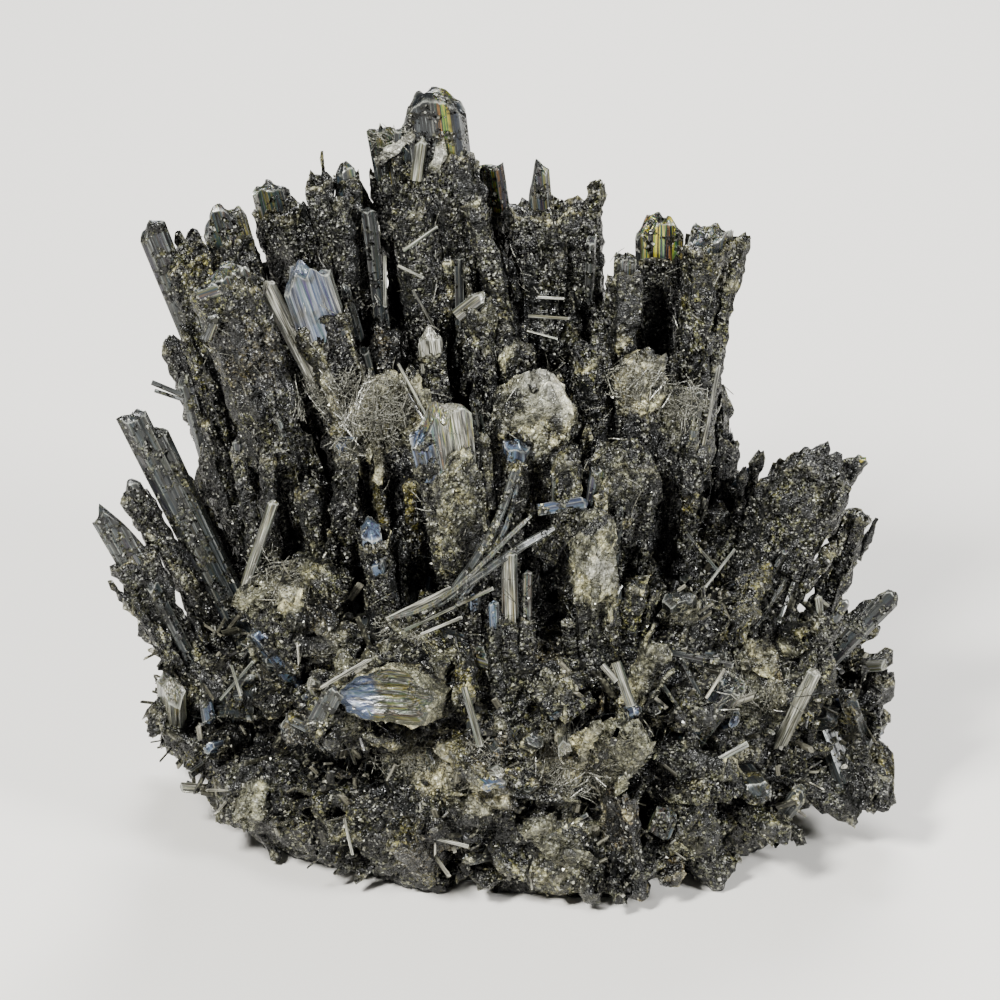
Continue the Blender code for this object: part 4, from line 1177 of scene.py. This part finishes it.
def roughened(tree, given):
    # lumps and grains pushed out along the surface, only where it is crusted
    read = "GeometryNodeInputNamedAttribute"
    place = addNode(tree, read, {"Name": "ownPlace"}, "Attribute", data_type="FLOAT_VECTOR")
    crusted = addNode(tree, read, {"Name": "crusted"}, "Attribute", data_type="FLOAT")
    lumpScale = addNode(tree, "Math", (1.0, given["Lump Size"]), operation="DIVIDE")
    grainScale = addNode(tree, "Math", (1.0, given["Grain Size"]), operation="DIVIDE")
    lumps = addNode(tree, "TexNoise", {"Vector": place, "Scale": lumpScale, "Detail": 2.0})
    lumps = addNode(tree, "MapRange", (lumps, 0.3, 0.7, -1.0, 1.0))
    lumps = addNode(tree, "Math", (lumps, given["Lump Height"]), operation="MULTIPLY")
    grains = addNode(tree, "TexVoronoi", {"Vector": place, "Scale": grainScale}, "Distance")
    grains = addNode(tree, "Math", (0.45, grains), operation="SUBTRACT")
    grains = addNode(tree, "Math", (grains, given["Grain Height"]), operation="MULTIPLY")
    height = addNode(tree, "Math", (lumps, grains), operation="ADD")
    for factor in (crusted, mm):
        height = addNode(tree, "Math", (height, factor), operation="MULTIPLY")
    normal = addNode(tree, "GeometryNodeInputNormal")
    offset = addNode(tree, "VectorMath", {0: normal, "Scale": height}, operation="SCALE")
    moved = addNode(tree, "GeometryNodeSetPosition", {"Geometry": given["Geometry"], "Offset": offset})
    return moved, crusted, place


def toned(tree, pieces, tone):
    stored = {"Geometry": pieces, "Name": "grainTone", "Value": tone}
    return addNode(tree, "GeometryNodeStoreNamedAttribute", stored, data_type="FLOAT", domain="INSTANCE")


def makeDruseTree():
    tree, given, result = newTree("druse", druseSettings)
    seed = given["Seed"]
    moved, crusted, place = roughened(tree, given)
    patches = addNode(tree, "TexNoise", {"Vector": place, "Scale": 0.3, "Detail": 2.0})
    patches = addNode(tree, "MapRange", (patches, 0.35, 0.6, 0.35, 1.5))
    density = given["Grains Per Square Mm"]
    for factor in (crusted, patches, 1 / mm**2):
        density = addNode(tree, "Math", (density, factor), operation="MULTIPLY")
    where = {"Mesh": moved, "Density": density, "Seed": seed}
    spots = addNode(tree, "GeometryNodeDistributePointsOnFaces", where, "Points")
    kinds = addNode(tree, "GeometryNodeGeometryToInstance", (), None)
    cone = {"Vertices": 4, "Radius Top": 0.0, "Radius Bottom": 1.1 * mm, "Depth": 1.9 * mm}
    ball = {"Segments": 4, "Rings": 2, "Radius": mm}
    for kind, sizes in (("Cone", cone), ("UVSphere", ball)):  # a blocky grain and a sharp one
        tree.links.new(addNode(tree, f"GeometryNodeMesh{kind}", sizes, "Mesh"), kinds.inputs[0])
    dice = "FunctionNodeRandomValue"
    turn = addNode(tree, dice, {1: (math.tau,) * 3, "Seed": seed}, data_type="FLOAT_VECTOR")
    share = addNode(tree, dice, {"Seed": seed}, 1, data_type="FLOAT")
    share = addNode(tree, "Math", (share, 2.0), operation="POWER")  # more small grains than large
    size = addNode(tree, "MapRange", (share, 0.0, 1.0, given["Smallest Grain"], given["Largest Grain"]))
    placing = {"Points": spots, "Instance": kinds.outputs[0], "Pick Instance": True, "Rotation": turn, "Scale": size}
    grains = addNode(tree, "GeometryNodeInstanceOnPoints", placing)
    tone = addNode(tree, dice, {2: 0.02, "Seed": seed}, 1, data_type="FLOAT")
    joined = addNode(tree, "GeometryNodeJoinGeometry", (), None)
    for geometry in (toned(tree, grains, tone), moved):
        tree.links.new(geometry, joined.inputs[0])
    real = addNode(tree, "GeometryNodeRealizeInstances", (joined.outputs[0],))
    toneRead = addNode(tree, "GeometryNodeInputNamedAttribute", {"Name": "grainTone"}, "Attribute", data_type="FLOAT")
    isGrain = addNode(tree, "FunctionNodeCompare", (toneRead, 0.01), data_type="FLOAT", operation="GREATER_THAN")
    dressing = {"Geometry": real, "Selection": isGrain, "Material": grainStone}
    tree.links.new(addNode(tree, "GeometryNodeSetMaterial", dressing), result.inputs[0])
    return tree


def asMesh(obj, tree, values, seed):
    # runs a tree on an object and keeps the result as a plain mesh inside the frame's box
    modifier = obj.modifiers.new(tree.name, "NODES")
    modifier.node_group = tree
    for socket in tree.interface.items_tree:
        if socket.in_out == "INPUT" and socket.name in values:
            modifier[socket.identifier] = values[socket.name]
        if socket.in_out == "INPUT" and socket.name == "Seed":
            modifier[socket.identifier] = seed
    graph = bpy.context.evaluated_depsgraph_get()
    mesh = bpy.data.meshes.new_from_object(obj.evaluated_get(graph), depsgraph=graph)
    obj.modifiers.remove(modifier)
    obj.data = mesh
    keepInBox(mesh)
    return obj


def keepInBox(mesh):
    kept = np.clip(readPoints(mesh), boxLow, boxHigh)
    mesh.vertices.foreach_set("co", kept.astype(np.float32).ravel())
    mesh.update()


def triangles(mesh):
    return sum(len(face.vertices) - 2 for face in mesh.polygons)


druseTree = makeDruseTree()
total = 0
for number, (node, rows) in enumerate(crystals.items()):
    chance = random.Random(node)
    parts = newParts()
    spacing = crystalLook["rearSpacing" if node.startswith("rear") else "coatSpacing"]
    if node == "broken_face_crystal":
        growBrokenFace(parts, rows[0], chance)
        rows = rows[1:]
    for row in rows:
        growRow(parts, row, chance, spacing)
    piece = meshFrom(f"{node}_dressed", parts)
    asMesh(piece, druseTree, druseSettings, number)
    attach(piece, "root")
    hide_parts(node)
    total += triangles(piece.data)
print("crystals grown:", total, "triangles")


# the root mass
rootLook = {
    "voxel": 1.0,
    "hollowSize": 7.0,
    "hollowDepth": 9.0,
}
rootSettings = {
    "Lump Size": 3.0,
    "Lump Height": 0.7,
    "Grain Size": 1.6,
    "Grain Height": 0.8,
    "Grains Per Square Mm": 0.4,
    "Smallest Grain": 0.14,
    "Largest Grain": 0.38,
}


def rootCopy(name):
    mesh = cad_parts["root_mass"].data.copy()
    bm = bmesh.new()
    bm.from_mesh(mesh)
    bmesh.ops.remove_doubles(bm, verts=bm.verts, dist=1e-6)
    bm.to_mesh(mesh)
    bm.free()
    obj = newObject(name, mesh)
    remesh = obj.modifiers.new("even mesh", "REMESH")
    remesh.mode = "VOXEL"
    remesh.voxel_size = rootLook["voxel"] * mm
    graph = bpy.context.evaluated_depsgraph_get()
    made = bpy.data.meshes.new_from_object(obj.evaluated_get(graph), depsgraph=graph)
    obj.modifiers.remove(remesh)
    obj.data = made
    return obj


def buildRoot():
    look = rootLook
    root = rootCopy("root_mass_dressed")
    mesh = root.data
    mesh.materials.clear()
    for material in crystalStones:
        mesh.materials.append(material)
    points = readPoints(mesh) / mm
    points[points[:, 2] < 0.5, 2] = 0  # the saw cut
    normals = np.array([vert.normal for vert in mesh.vertices])
    free = np.clip(points[:, 2:3] / 4, 0, 1)
    hollows = latticeNoise(points / look["hollowSize"], 31)
    hollows = hollows + 0.6 * latticeNoise(points / look["hollowSize"] * 2.3, 32)
    sunk = np.clip(hollows - 0.05, 0, 1)[:, None] * look["hollowDepth"]
    points = points - normals * sunk * free
    mesh.vertices.foreach_set("co", (points * mm).astype(np.float32).ravel())
    setPointValues(mesh, "ownPlace", points)
    setPointValues(mesh, "crusted", np.clip((points[:, 2] - 0.1) / 2.0, 0, 1))
    setPointValues(mesh, "rim", np.zeros(len(points)))
    mix = np.clip(latticeNoise(points / 9, 21) + 0.5, 0, 1)[:, None]
    colours = [np.array(linear(coats[name])) for name in ("dark", "olive", "grey")]
    tint = colours[0] * (1 - mix) + colours[1] * mix
    lighter = np.clip(latticeNoise(points / 5, 22) * 1.6, 0, 1)[:, None]
    tint = tint * (1 - lighter) + colours[2] * lighter
    tint = tinted(points, tint)
    # painted shade: the hollows are darkened in colour the deeper they sink
    tint[:, :3] *= 1 - 0.85 * np.clip(sunk / 3, 0, 1)
    setPointValues(mesh, "coat", tint)
    setPointValues(mesh, "tarnish", np.tile(tarnishes["lead"][0][1:], (len(points), 1)))
    asMesh(root, druseTree, rootSettings, 500)
    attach(root, "root")
    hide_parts("root_mass")
    return root


root = buildRoot()
print("root mass:", triangles(root.data), "triangles")

# crystals broken off short all over the root, each a prism of its own
blockLook = {
    "count": 430,
    "spacing": 0.95,
    "widths": (1.8, 7.4),
    "shortest": 3.5,
    "outward": 0.35,  # how far they point away from the middle of the root, and at random
    "random": 1.1,
    "sunk": 0.45,  # share of the length that is inside the root
}


def growBlocks():
    look = blockLook
    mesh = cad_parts["root_mass"].data
    mesh.calc_loop_triangles()
    chance = random.Random("blocks")
    faces = [face for face in mesh.loop_triangles if face.normal.z > -0.8 and face.center.z > 1.5 * mm]
    picked = chance.choices(faces, weights=[face.area for face in faces], k=look["count"])
    halves = {"front": newParts(), "rear": newParts()}
    for face in picked:
        place = Vector(face.center) / mm
        middle = Vector((0, 0, 18))
        way = face.normal + (place - middle).normalized() * look["outward"]
        way += Vector([chance.gauss(0, 1) for _ in range(3)]) * look["random"]
        if way.dot(face.normal) < 0.2:
            way += face.normal
        way.normalize()
        size = chance.random() ** 1.9
        width = look["widths"][0] + (look["widths"][1] - look["widths"][0]) * size
        length = chance.uniform(look["shortest"], look["shortest"] + width * 1.9)
        if place.z > 36:  # among the standing crystals they stay short
            length *= 0.8
        kind = chance.random()
        shape = {
            "width": width,
            "depth": width * chance.uniform(0.35, 0.85),
            "clean": 0 if kind < 0.62 else bare if kind < 0.8 or width < 3 else length * 0.3,
            "ending": chance.choice(("square", "slant", "chisel", "ragged", "ragged", "slant")),
            "turn": chance.uniform(0, 180),
            "footShare": chance.uniform(0.85, 1.1),
            "coat": chance.choice(("dark", "dark", "grey", "grey", "olive", "olive", "brown", "gold", "pale")),
            "tarnish": chance.choice(("lead", "lead", "lead", "glass", "glass", "paleFilmAndSheen", "lead", "blue")),
            "spacing": look["spacing"],
        }
        foot = place - way * length * look["sunk"]
        if (foot + way * length).z < 1.5 or foot.z < 1.0:
            continue
        parts = halves["front" if place.y < 4 else "rear"]
        grow(parts, foot, foot + way * length, shape, chance)
    for number, (half, parts) in enumerate(halves.items()):
        piece = meshFrom(f"root_blocks_{half}", parts)
        asMesh(piece, druseTree, druseSettings, 600 + number)
        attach(piece, "root")
        print("root blocks", half, triangles(piece.data), "triangles")


growBlocks()

# needles and blades that lie free among the crystals, tip to tip
needles = (  # one end, the other, width, tarnish
    ((-17.1, 97, 9), (-17.1, 89.6, 9.5), 0.5, "pale"),
    ((-15.2, 95.6, 8), (-11.4, 93.8, 8.5), 0.4, "pale"),
    ((-14.4, 97.8, 9), (-9.2, 101.4, 10), 0.5, "paleFilmAndSheen"),
    ((-13.0, 92.0, 8), (-9.8, 86.5, 8.5), 0.5, "paleFilmAndSheen"),
    ((4.2, 88.2, 8), (10.4, 87.8, 8), 0.5, "paleFilmAndSheen"),
    ((5.6, 91.0, 9), (9.6, 90.8, 10), 0.4, "pale"),
    ((4.0, 86.0, 7), (8.6, 84.8, 8), 0.4, "paleFilmAndSheen"),
    ((-52.4, 78.4, 10), (-47.6, 76.4, 9), 0.7, "lead"),
    ((-52.0, 77.2, 10), (-47.8, 75.8, 9), 0.5, "lead"),
    ((-16.6, 43.2, -25), (-7.0, 47.8, -25), 0.9, "pale"),
    ((-14.0, 41.6, -25), (-1.0, 47.8, -25), 0.6, "paleFilmAndSheen"),
    ((-11.6, 41.0, -26), (-5.4, 43.6, -26), 0.5, "pale"),
    ((-15.0, 80.8, -5), (-11.0, 73.4, -9), 0.5, "paleFilmAndSheen"),
    ((-14.6, 78.4, -5), (-11.4, 72.6, -9), 0.4, "lead"),
    ((-39.8, 36.2, -20), (-38.4, 31.6, -22), 0.5, "paleFilmAndSheen"),
    ((-41.6, 31.0, -20), (-36.6, 36.8, -19), 0.4, "paleFilmAndSheen"),
    ((-23.0, 13.6, -30), (-21.8, 8.0, -31), 0.5, "pale"),
    ((-10.4, 11.0, -35), (-4.6, 9.6, -36), 0.6, "pale"),
    ((-5.2, 33.4, -33), (-2.8, 24.6, -35), 1.1, "paleFilmAndSheen"),
    ((26.6, 37.6, -25), (30.4, 30.0, -26), 0.8, "lead"),
    ((23.6, 34.0, -27), (28.0, 27.6, -28), 0.5, "lead"),
    ((15.0, 36.6, -30), (17.0, 34.2, -31), 1.0, "pale"),
    ((17.0, 37.0, -30), (19.2, 30.6, -32), 1.4, "paleFilmAndSheen"),
    ((27.6, 56.0, -10), (32.4, 50.2, -12), 0.5, "lead"),
    ((35.0, 53.4, -8), (30.6, 47.8, -12), 0.5, "paleFilmAndSheen"),
    ((42.8, 49.0, -9), (38.4, 42.0, -13), 0.6, "lead"),
    ((43.8, 48.4, -9), (41.6, 42.4, -13), 0.6, "lead"),
    ((21.4, 39.0, -22), (34.4, 36.2, -22), 0.9, "lead"),
    ((49.0, 43.6, -16), (54.8, 40.0, -14), 0.6, "lead"),
    ((6.8, 11.0, -38), (13.0, 14.6, -37), 0.6, "lead"),
    ((30.0, 21.0, -28), (36.6, 24.6, -27), 0.8, "paleFilmAndSheen"),
)
# the long blades that bend over the front crystals: each a chain of places
bentBlades = (
    (((2.4, 66.0, -15), (0.9, 60.4, -19), (-2.2, 53.6, -24), (-8.0, 46.0, -26)), 1.2, "lead"),
    (((2.9, 66.4, -15), (1.9, 58.4, -19), (-1.6, 51.6, -24.5), (-6.6, 45.0, -27)), 0.8, "glass"),
    (((8.0, 56.6, -20), (2.0, 53.4, -24), (-4.4, 48.6, -26.5), (-10.6, 44.6, -26)), 1.2, "lead"),
    (((4.6, 58.4, -20), (0.0, 54.2, -24), (-5.1, 48.6, -26.5), (-11.2, 44.4, -27), (-16.3, 43.4, -26)), 0.7, "paleFilmAndSheen"),
)
bladeFlatness = 0.45


def bladeShell(parts, places, width, tarnish, chance):
    # a flat striated blade along a chain of places, in millimetres
    points, edges = outline(width, width * bladeFlatness, 0.35)
    path = [spot(*place) for place in places]
    steps = []
    for here, there in zip(path, path[1:]):
        steps += [here.lerp(there, share / 4) for share in range(4)]
    steps.append(path[-1])
    for _ in range(3):  # eases the corners of the chain
        steps[1:-1] = [(before + after) / 2 for before, after in zip(steps, steps[2:])]
    rings = []
    for number, centre in enumerate(steps):
        ahead = steps[min(number + 1, len(steps) - 1)] - steps[max(number - 1, 0)]
        side = ahead.cross(toEye).normalized()
        flat = ahead.cross(side).normalized()
        end = 0.55 if number in (0, len(steps) - 1) else 1.0
        rings.append(np.array([centre + side * (x * end) + flat * (y * end) for x, y in points]))
    extras = {
        "kind": 1,
        "crusted": 0.0,
        "coat": linear(coats["grey"]),
        "tarnish": tarnishes[tarnish][0][1:],
        "shift": [0, 0, 0],
        # painted highlight along the blade's edges
        "rim": np.concatenate([np.tile(edges, len(rings)), [0, 0]]),
    }
    low, high = (np.array(steps[end]) for end in (0, -1))
    addShell(parts, rings, low, high, Matrix.Identity(4), extras)


def layNeedles():
    chance = random.Random("needles")
    parts = newParts()
    for one, other, width, tarnish in needles:
        shape = {
            "width": width,
            "depth": width * 0.7,
            "clean": bare,
            "ending": "square",
            "turn": chance.uniform(0, 60),
            "footShare": 1.0,
            "coat": "grey",
            "tarnish": tarnish,
        }
        foot, tip = spot(*one), spot(*other)
        length, placed = (tip - foot).length, standing(foot, tip, 0)
        growShell(parts, shape, 0, length, width, width * 0.7, endings["square"], False, placed, length, chance)
    for places, width, tarnish in bentBlades:
        bladeShell(parts, places, width, tarnish, chance)
    piece = meshFrom("loose_needles", parts, False)
    keepInBox(piece.data)
    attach(piece, "root")
    print("needles", triangles(piece.data), "triangles")


layNeedles()

# felts of hair-thin fibres that lie on the crust
fibreLook = {
    "width": (0.1, 0.2),
    "bend": 0.35,
    "lift": (0.1, 1.0),
    "flat": 0.9,
}
felts = (  # across, rise, reach across, reach up, count, length, tarnish
    (-22.0, 75.4, 9.5, 4.2, 560, (1.6, 5.5), "felt"),
    (-20.0, 70.5, 5.0, 4.0, 130, (2.0, 5.0), "felt"),
    (-16.0, 114.6, 3.0, 1.8, 70, (0.8, 2.4), "pale"),
    (-28.5, 76.0, 3.5, 3.5, 90, (1.5, 4.0), "pale"),
    (27.5, 75.5, 3.4, 3.0, 110, (2.0, 6.0), "felt"),
    (20.0, 78.5, 5.0, 2.5, 90, (1.5, 4.0), "felt"),
    (-33.0, 49.5, 5.0, 4.5, 110, (1.5, 4.5), "felt"),
    (-14.0, 41.5, 7.0, 2.0, 90, (1.5, 4.0), "felt"),
    (-14.0, 23.0, 6.0, 3.0, 130, (1.5, 4.0), "felt"),
    (10.0, 21.5, 6.0, 5.0, 190, (2.0, 7.0), "felt"),
    (-3.0, 20.0, 3.0, 6.0, 100, (2.0, 6.0), "felt"),
    (38.0, 33.0, 6.0, 5.0, 120, (1.5, 5.0), "felt"),
    (0.0, 34.0, 48.0, 20.0, 380, (1.5, 5.0), "lead"),
    (0.0, 80.0, 45.0, 24.0, 220, (1.2, 3.6), "felt"),
)


def layFibres():
    look = fibreLook
    chance = random.Random("fibres")
    parts = newParts()
    triangle = np.array([(math.cos(turn), math.sin(turn)) for turn in (0.5, 2.6, 4.7)])
    for across, rise, reachAcross, reachUp, count, lengths, tarnish in felts:
        for _ in range(count):
            turn, far = chance.uniform(0, math.tau), math.sqrt(chance.random())
            there = (across + math.cos(turn) * far * reachAcross, rise + math.sin(turn) * far * reachUp)
            place, normal = surfaceSpot(*there)
            if place is None:
                continue
            way = Vector([chance.gauss(0, 1) for _ in range(3)])
            way = (way - normal * way.dot(normal) * look["flat"]).normalized()
            length = chance.uniform(*lengths)
            width = chance.uniform(*look["width"])
            middle = place + normal * chance.uniform(*look["lift"])
            side = way.cross(normal).normalized()
            bend = normal * chance.uniform(-1, 0.4) + side * chance.uniform(-1, 1)
            up = way.cross(side)
            rings, centres = [], []
            for share in (-0.5, -0.15, 0.2, 0.5):
                centre = middle + way * share * length + bend * (share * share * look["bend"] * length)
                thick = width / 2 * (1.15 - abs(share) * 1.2)
                rings.append(np.array([centre + side * (x * thick) + up * (y * thick) for x, y in triangle]))
                centres.append(np.array(centre))
            extras = {
                "kind": 1,
                "crusted": 0.0,
                "coat": linear(coats[chance.choice(("pale", "grey", "olive"))]),
                "tarnish": tarnishes[tarnish][0][1:],
                "shift": ownShift(chance),
            }
            addShell(parts, rings, centres[0], centres[-1], Matrix.Identity(4), extras)
    piece = meshFrom("fibre_felts", parts, False)
    keepInBox(piece.data)
    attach(piece, "root")
    print("fibres", triangles(piece.data), "triangles")


layFibres()

# broken crystals strewn over the root: Geometry Nodes pick and turn a few snapped shapes
splinterShapes = (  # sides, width, depth, length, tilt of the break
    (8, 1.0, 0.8, 2.6, 30),
    (6, 1.0, 0.45, 3.4, 48),
    (6, 0.7, 0.5, 4.6, 20),
    (8, 1.3, 0.9, 1.8, 40),
    (5, 0.5, 0.3, 4.2, 55),
    (6, 1.2, 0.28, 2.8, 35),
    (7, 0.9, 0.7, 2.2, 12),
)


def splinterCollection():
    holder = bpy.data.collections.new("splinters")
    for number, (sides, width, depth, length, tilt) in enumerate(splinterShapes):
        chance = random.Random(number)
        bm = bmesh.new()
        bmesh.ops.create_cone(bm, cap_ends=True, segments=sides, radius1=0.5, radius2=0.5, depth=1)
        for vert in bm.verts:
            turn = math.atan2(vert.co.y, vert.co.x)
            reach = 0.85 + 0.3 * noise.noise((math.cos(turn) * 2 + number * 5, math.sin(turn) * 2, 0.5))
            vert.co = (vert.co.x * width * reach, vert.co.y * depth * reach, (vert.co.z + 0.38) * length)
        for heading in (chance.uniform(0, 3), chance.uniform(3, 6)):
            lean = math.radians(tilt * chance.uniform(0.6, 1.2))
            normal = (math.cos(heading) * math.sin(lean), math.sin(heading) * math.sin(lean), math.cos(lean))
            cut = bmesh.ops.bisect_plane(
                bm,
                geom=[*bm.verts, *bm.edges, *bm.faces],
                plane_co=(0, 0, length * chance.uniform(0.68, 0.8)),
                plane_no=normal,
                clear_outer=True,
            )
            edges = [item for item in cut["geom_cut"] if isinstance(item, bmesh.types.BMEdge)]
            if edges:
                bmesh.ops.edgeloop_fill(bm, edges=edges)
        bmesh.ops.recalc_face_normals(bm, faces=bm.faces)
        mesh = bpy.data.meshes.new(f"splinter {number}")
        bm.to_mesh(mesh)
        bm.free()
        mesh.materials.append(splinterStone)
        points = np.array([vert.co for vert in mesh.vertices])
        setPointValues(mesh, "ownPlace", points + number * 7.0)
        mesh.transform(Matrix.Scale(mm, 4))
        holder.objects.link(bpy.data.objects.new(mesh.name, mesh))
    return holder


strewnSettings = {
    "broken blocks": {
        "Per Square Mm": 0.05,
        "Smallest": 0.7,
        "Largest": 1.5,
        "Longest": 1.2,
        "Lean": 0.9,
        "Seed": 7,
    },
    "splinters": {
        "Per Square Mm": 0.09,
        "Smallest": 0.35,
        "Largest": 0.8,
        "Longest": 1.7,
        "Lean": 1.0,
        "Seed": 8,
    },
}


def makeStrewTree(shapes):
    tree, given, result = newTree("strewn", ("Per Square Mm", "Smallest", "Largest", "Longest", "Lean"))
    seed = given["Seed"]
    height = addNode(tree, "SeparateXYZ", (addNode(tree, "GeometryNodeInputPosition"),), 2)
    above = addNode(tree, "MapRange", (height, 4 * mm, 9 * mm))  # none on the cut base or just over it
    density = given["Per Square Mm"]
    for factor in (1 / mm**2, above):
        density = addNode(tree, "Math", (density, factor), operation="MULTIPLY")
    where = {"Mesh": given["Geometry"], "Density": density, "Seed": seed}
    spots = addNode(tree, "GeometryNodeDistributePointsOnFaces", where, None).outputs
    dice = "FunctionNodeRandomValue"
    away = addNode(tree, dice, {0: (-1, -1, -0.7), 1: (1, 1, 1.1), "Seed": seed}, data_type="FLOAT_VECTOR")
    away = addNode(tree, "VectorMath", {0: away, "Scale": given["Lean"]}, operation="SCALE")
    way = addNode(tree, "VectorMath", (spots["Normal"], away), operation="ADD")
    thick = addNode(tree, dice, {2: given["Smallest"], 3: given["Largest"], "Seed": seed}, 1, data_type="FLOAT")
    stretch = addNode(tree, dice, {2: 0.7, 3: given["Longest"], "Seed": 3}, 1, data_type="FLOAT")
    long = addNode(tree, "Math", (thick, stretch), operation="MULTIPLY")
    picked = {"Collection": shapes, "Separate Children": True, "Reset Children": True}
    placing = {
        "Points": spots["Points"],
        "Instance": addNode(tree, "GeometryNodeCollectionInfo", picked),
        "Pick Instance": True,
        "Instance Index": addNode(tree, dice, {4: 0, 5: len(splinterShapes) - 1, "Seed": seed}, 2, data_type="INT"),
        "Rotation": addNode(tree, "FunctionNodeAlignRotationToVector", {"Vector": way}, axis="Z"),
        "Scale": addNode(tree, "CombineXYZ", (thick, thick, long)),
    }
    pieces = addNode(tree, "GeometryNodeInstanceOnPoints", placing)
    tone = addNode(tree, dice, {"Seed": 5}, 1, data_type="FLOAT")
    real = addNode(tree, "GeometryNodeRealizeInstances", (toned(tree, pieces, tone),))
    dressed = addNode(tree, "GeometryNodeSetMaterial", {"Geometry": real, "Material": splinterStone})
    tree.links.new(dressed, result.inputs[0])
    return tree


strewTree = makeStrewTree(splinterCollection())
for label, settings in strewnSettings.items():
    strewn = rootCopy(label.replace(" ", "_"))
    asMesh(strewn, strewTree, settings, settings["Seed"])
    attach(strewn, "root")
    print(label, triangles(strewn.data), "triangles")


# the studio: a pale floor, soft boxes and the camera
studio = {
    "aim": (0, 0, 0.0511),
    "distance": 0.9,
    "lens": 216,
    "floor": "#d9d7d2",
    "boxes": (  # place, size, watts, colour
        ((-0.30, -0.44, 0.56), 0.15, 14.8, "#fffefa"),
        ((0.46, -0.36, 0.36), 0.15, 6.5, "#ffffff"),
        ((0.05, 0.50, 0.50), 0.26, 8.5, "#ffffff"),
    ),
    "sky": 0.07,
}


def makeStudio():
    scene = bpy.context.scene
    bpy.ops.mesh.primitive_plane_add(size=4, location=(0, 0, -0.0002))
    floor = bpy.context.object
    floor.name = "floor"
    material = newMaterial("floor, matt paper")[0]
    finishMaterial(material, {"Base Color": linear(studio["floor"]), "Roughness": 0.85})
    floor.data.materials.append(material)
    aim = Vector(studio["aim"])
    for number, (place, size, watts, colour) in enumerate(studio["boxes"]):
        light = bpy.data.lights.new(f"soft box {number}", "AREA")
        light.size, light.energy, light.color = size, watts, linear(colour)[:3]
        box = newObject(light.name, light)
        box.location = place
        box.rotation_euler = (aim - Vector(place)).to_track_quat("-Z", "Y").to_euler()
    world = bpy.data.worlds.new("studio air")
    world.use_nodes = True
    world.node_tree.nodes["Background"].inputs["Strength"].default_value = studio["sky"]
    world.node_tree.nodes["Background"].inputs["Color"].default_value = (1, 1, 1, 1)
    scene.world = world
    camera = newObject("camera", bpy.data.cameras.new("camera"))
    camera.data.lens, camera.data.sensor_width = studio["lens"], 36
    camera.data.clip_start = 0.05
    camera.location = aim + toEye * studio["distance"]
    camera.rotation_euler = sightWay.to_track_quat("-Z", "Y").to_euler()
    scene.camera = camera


makeStudio()
print("studio set")
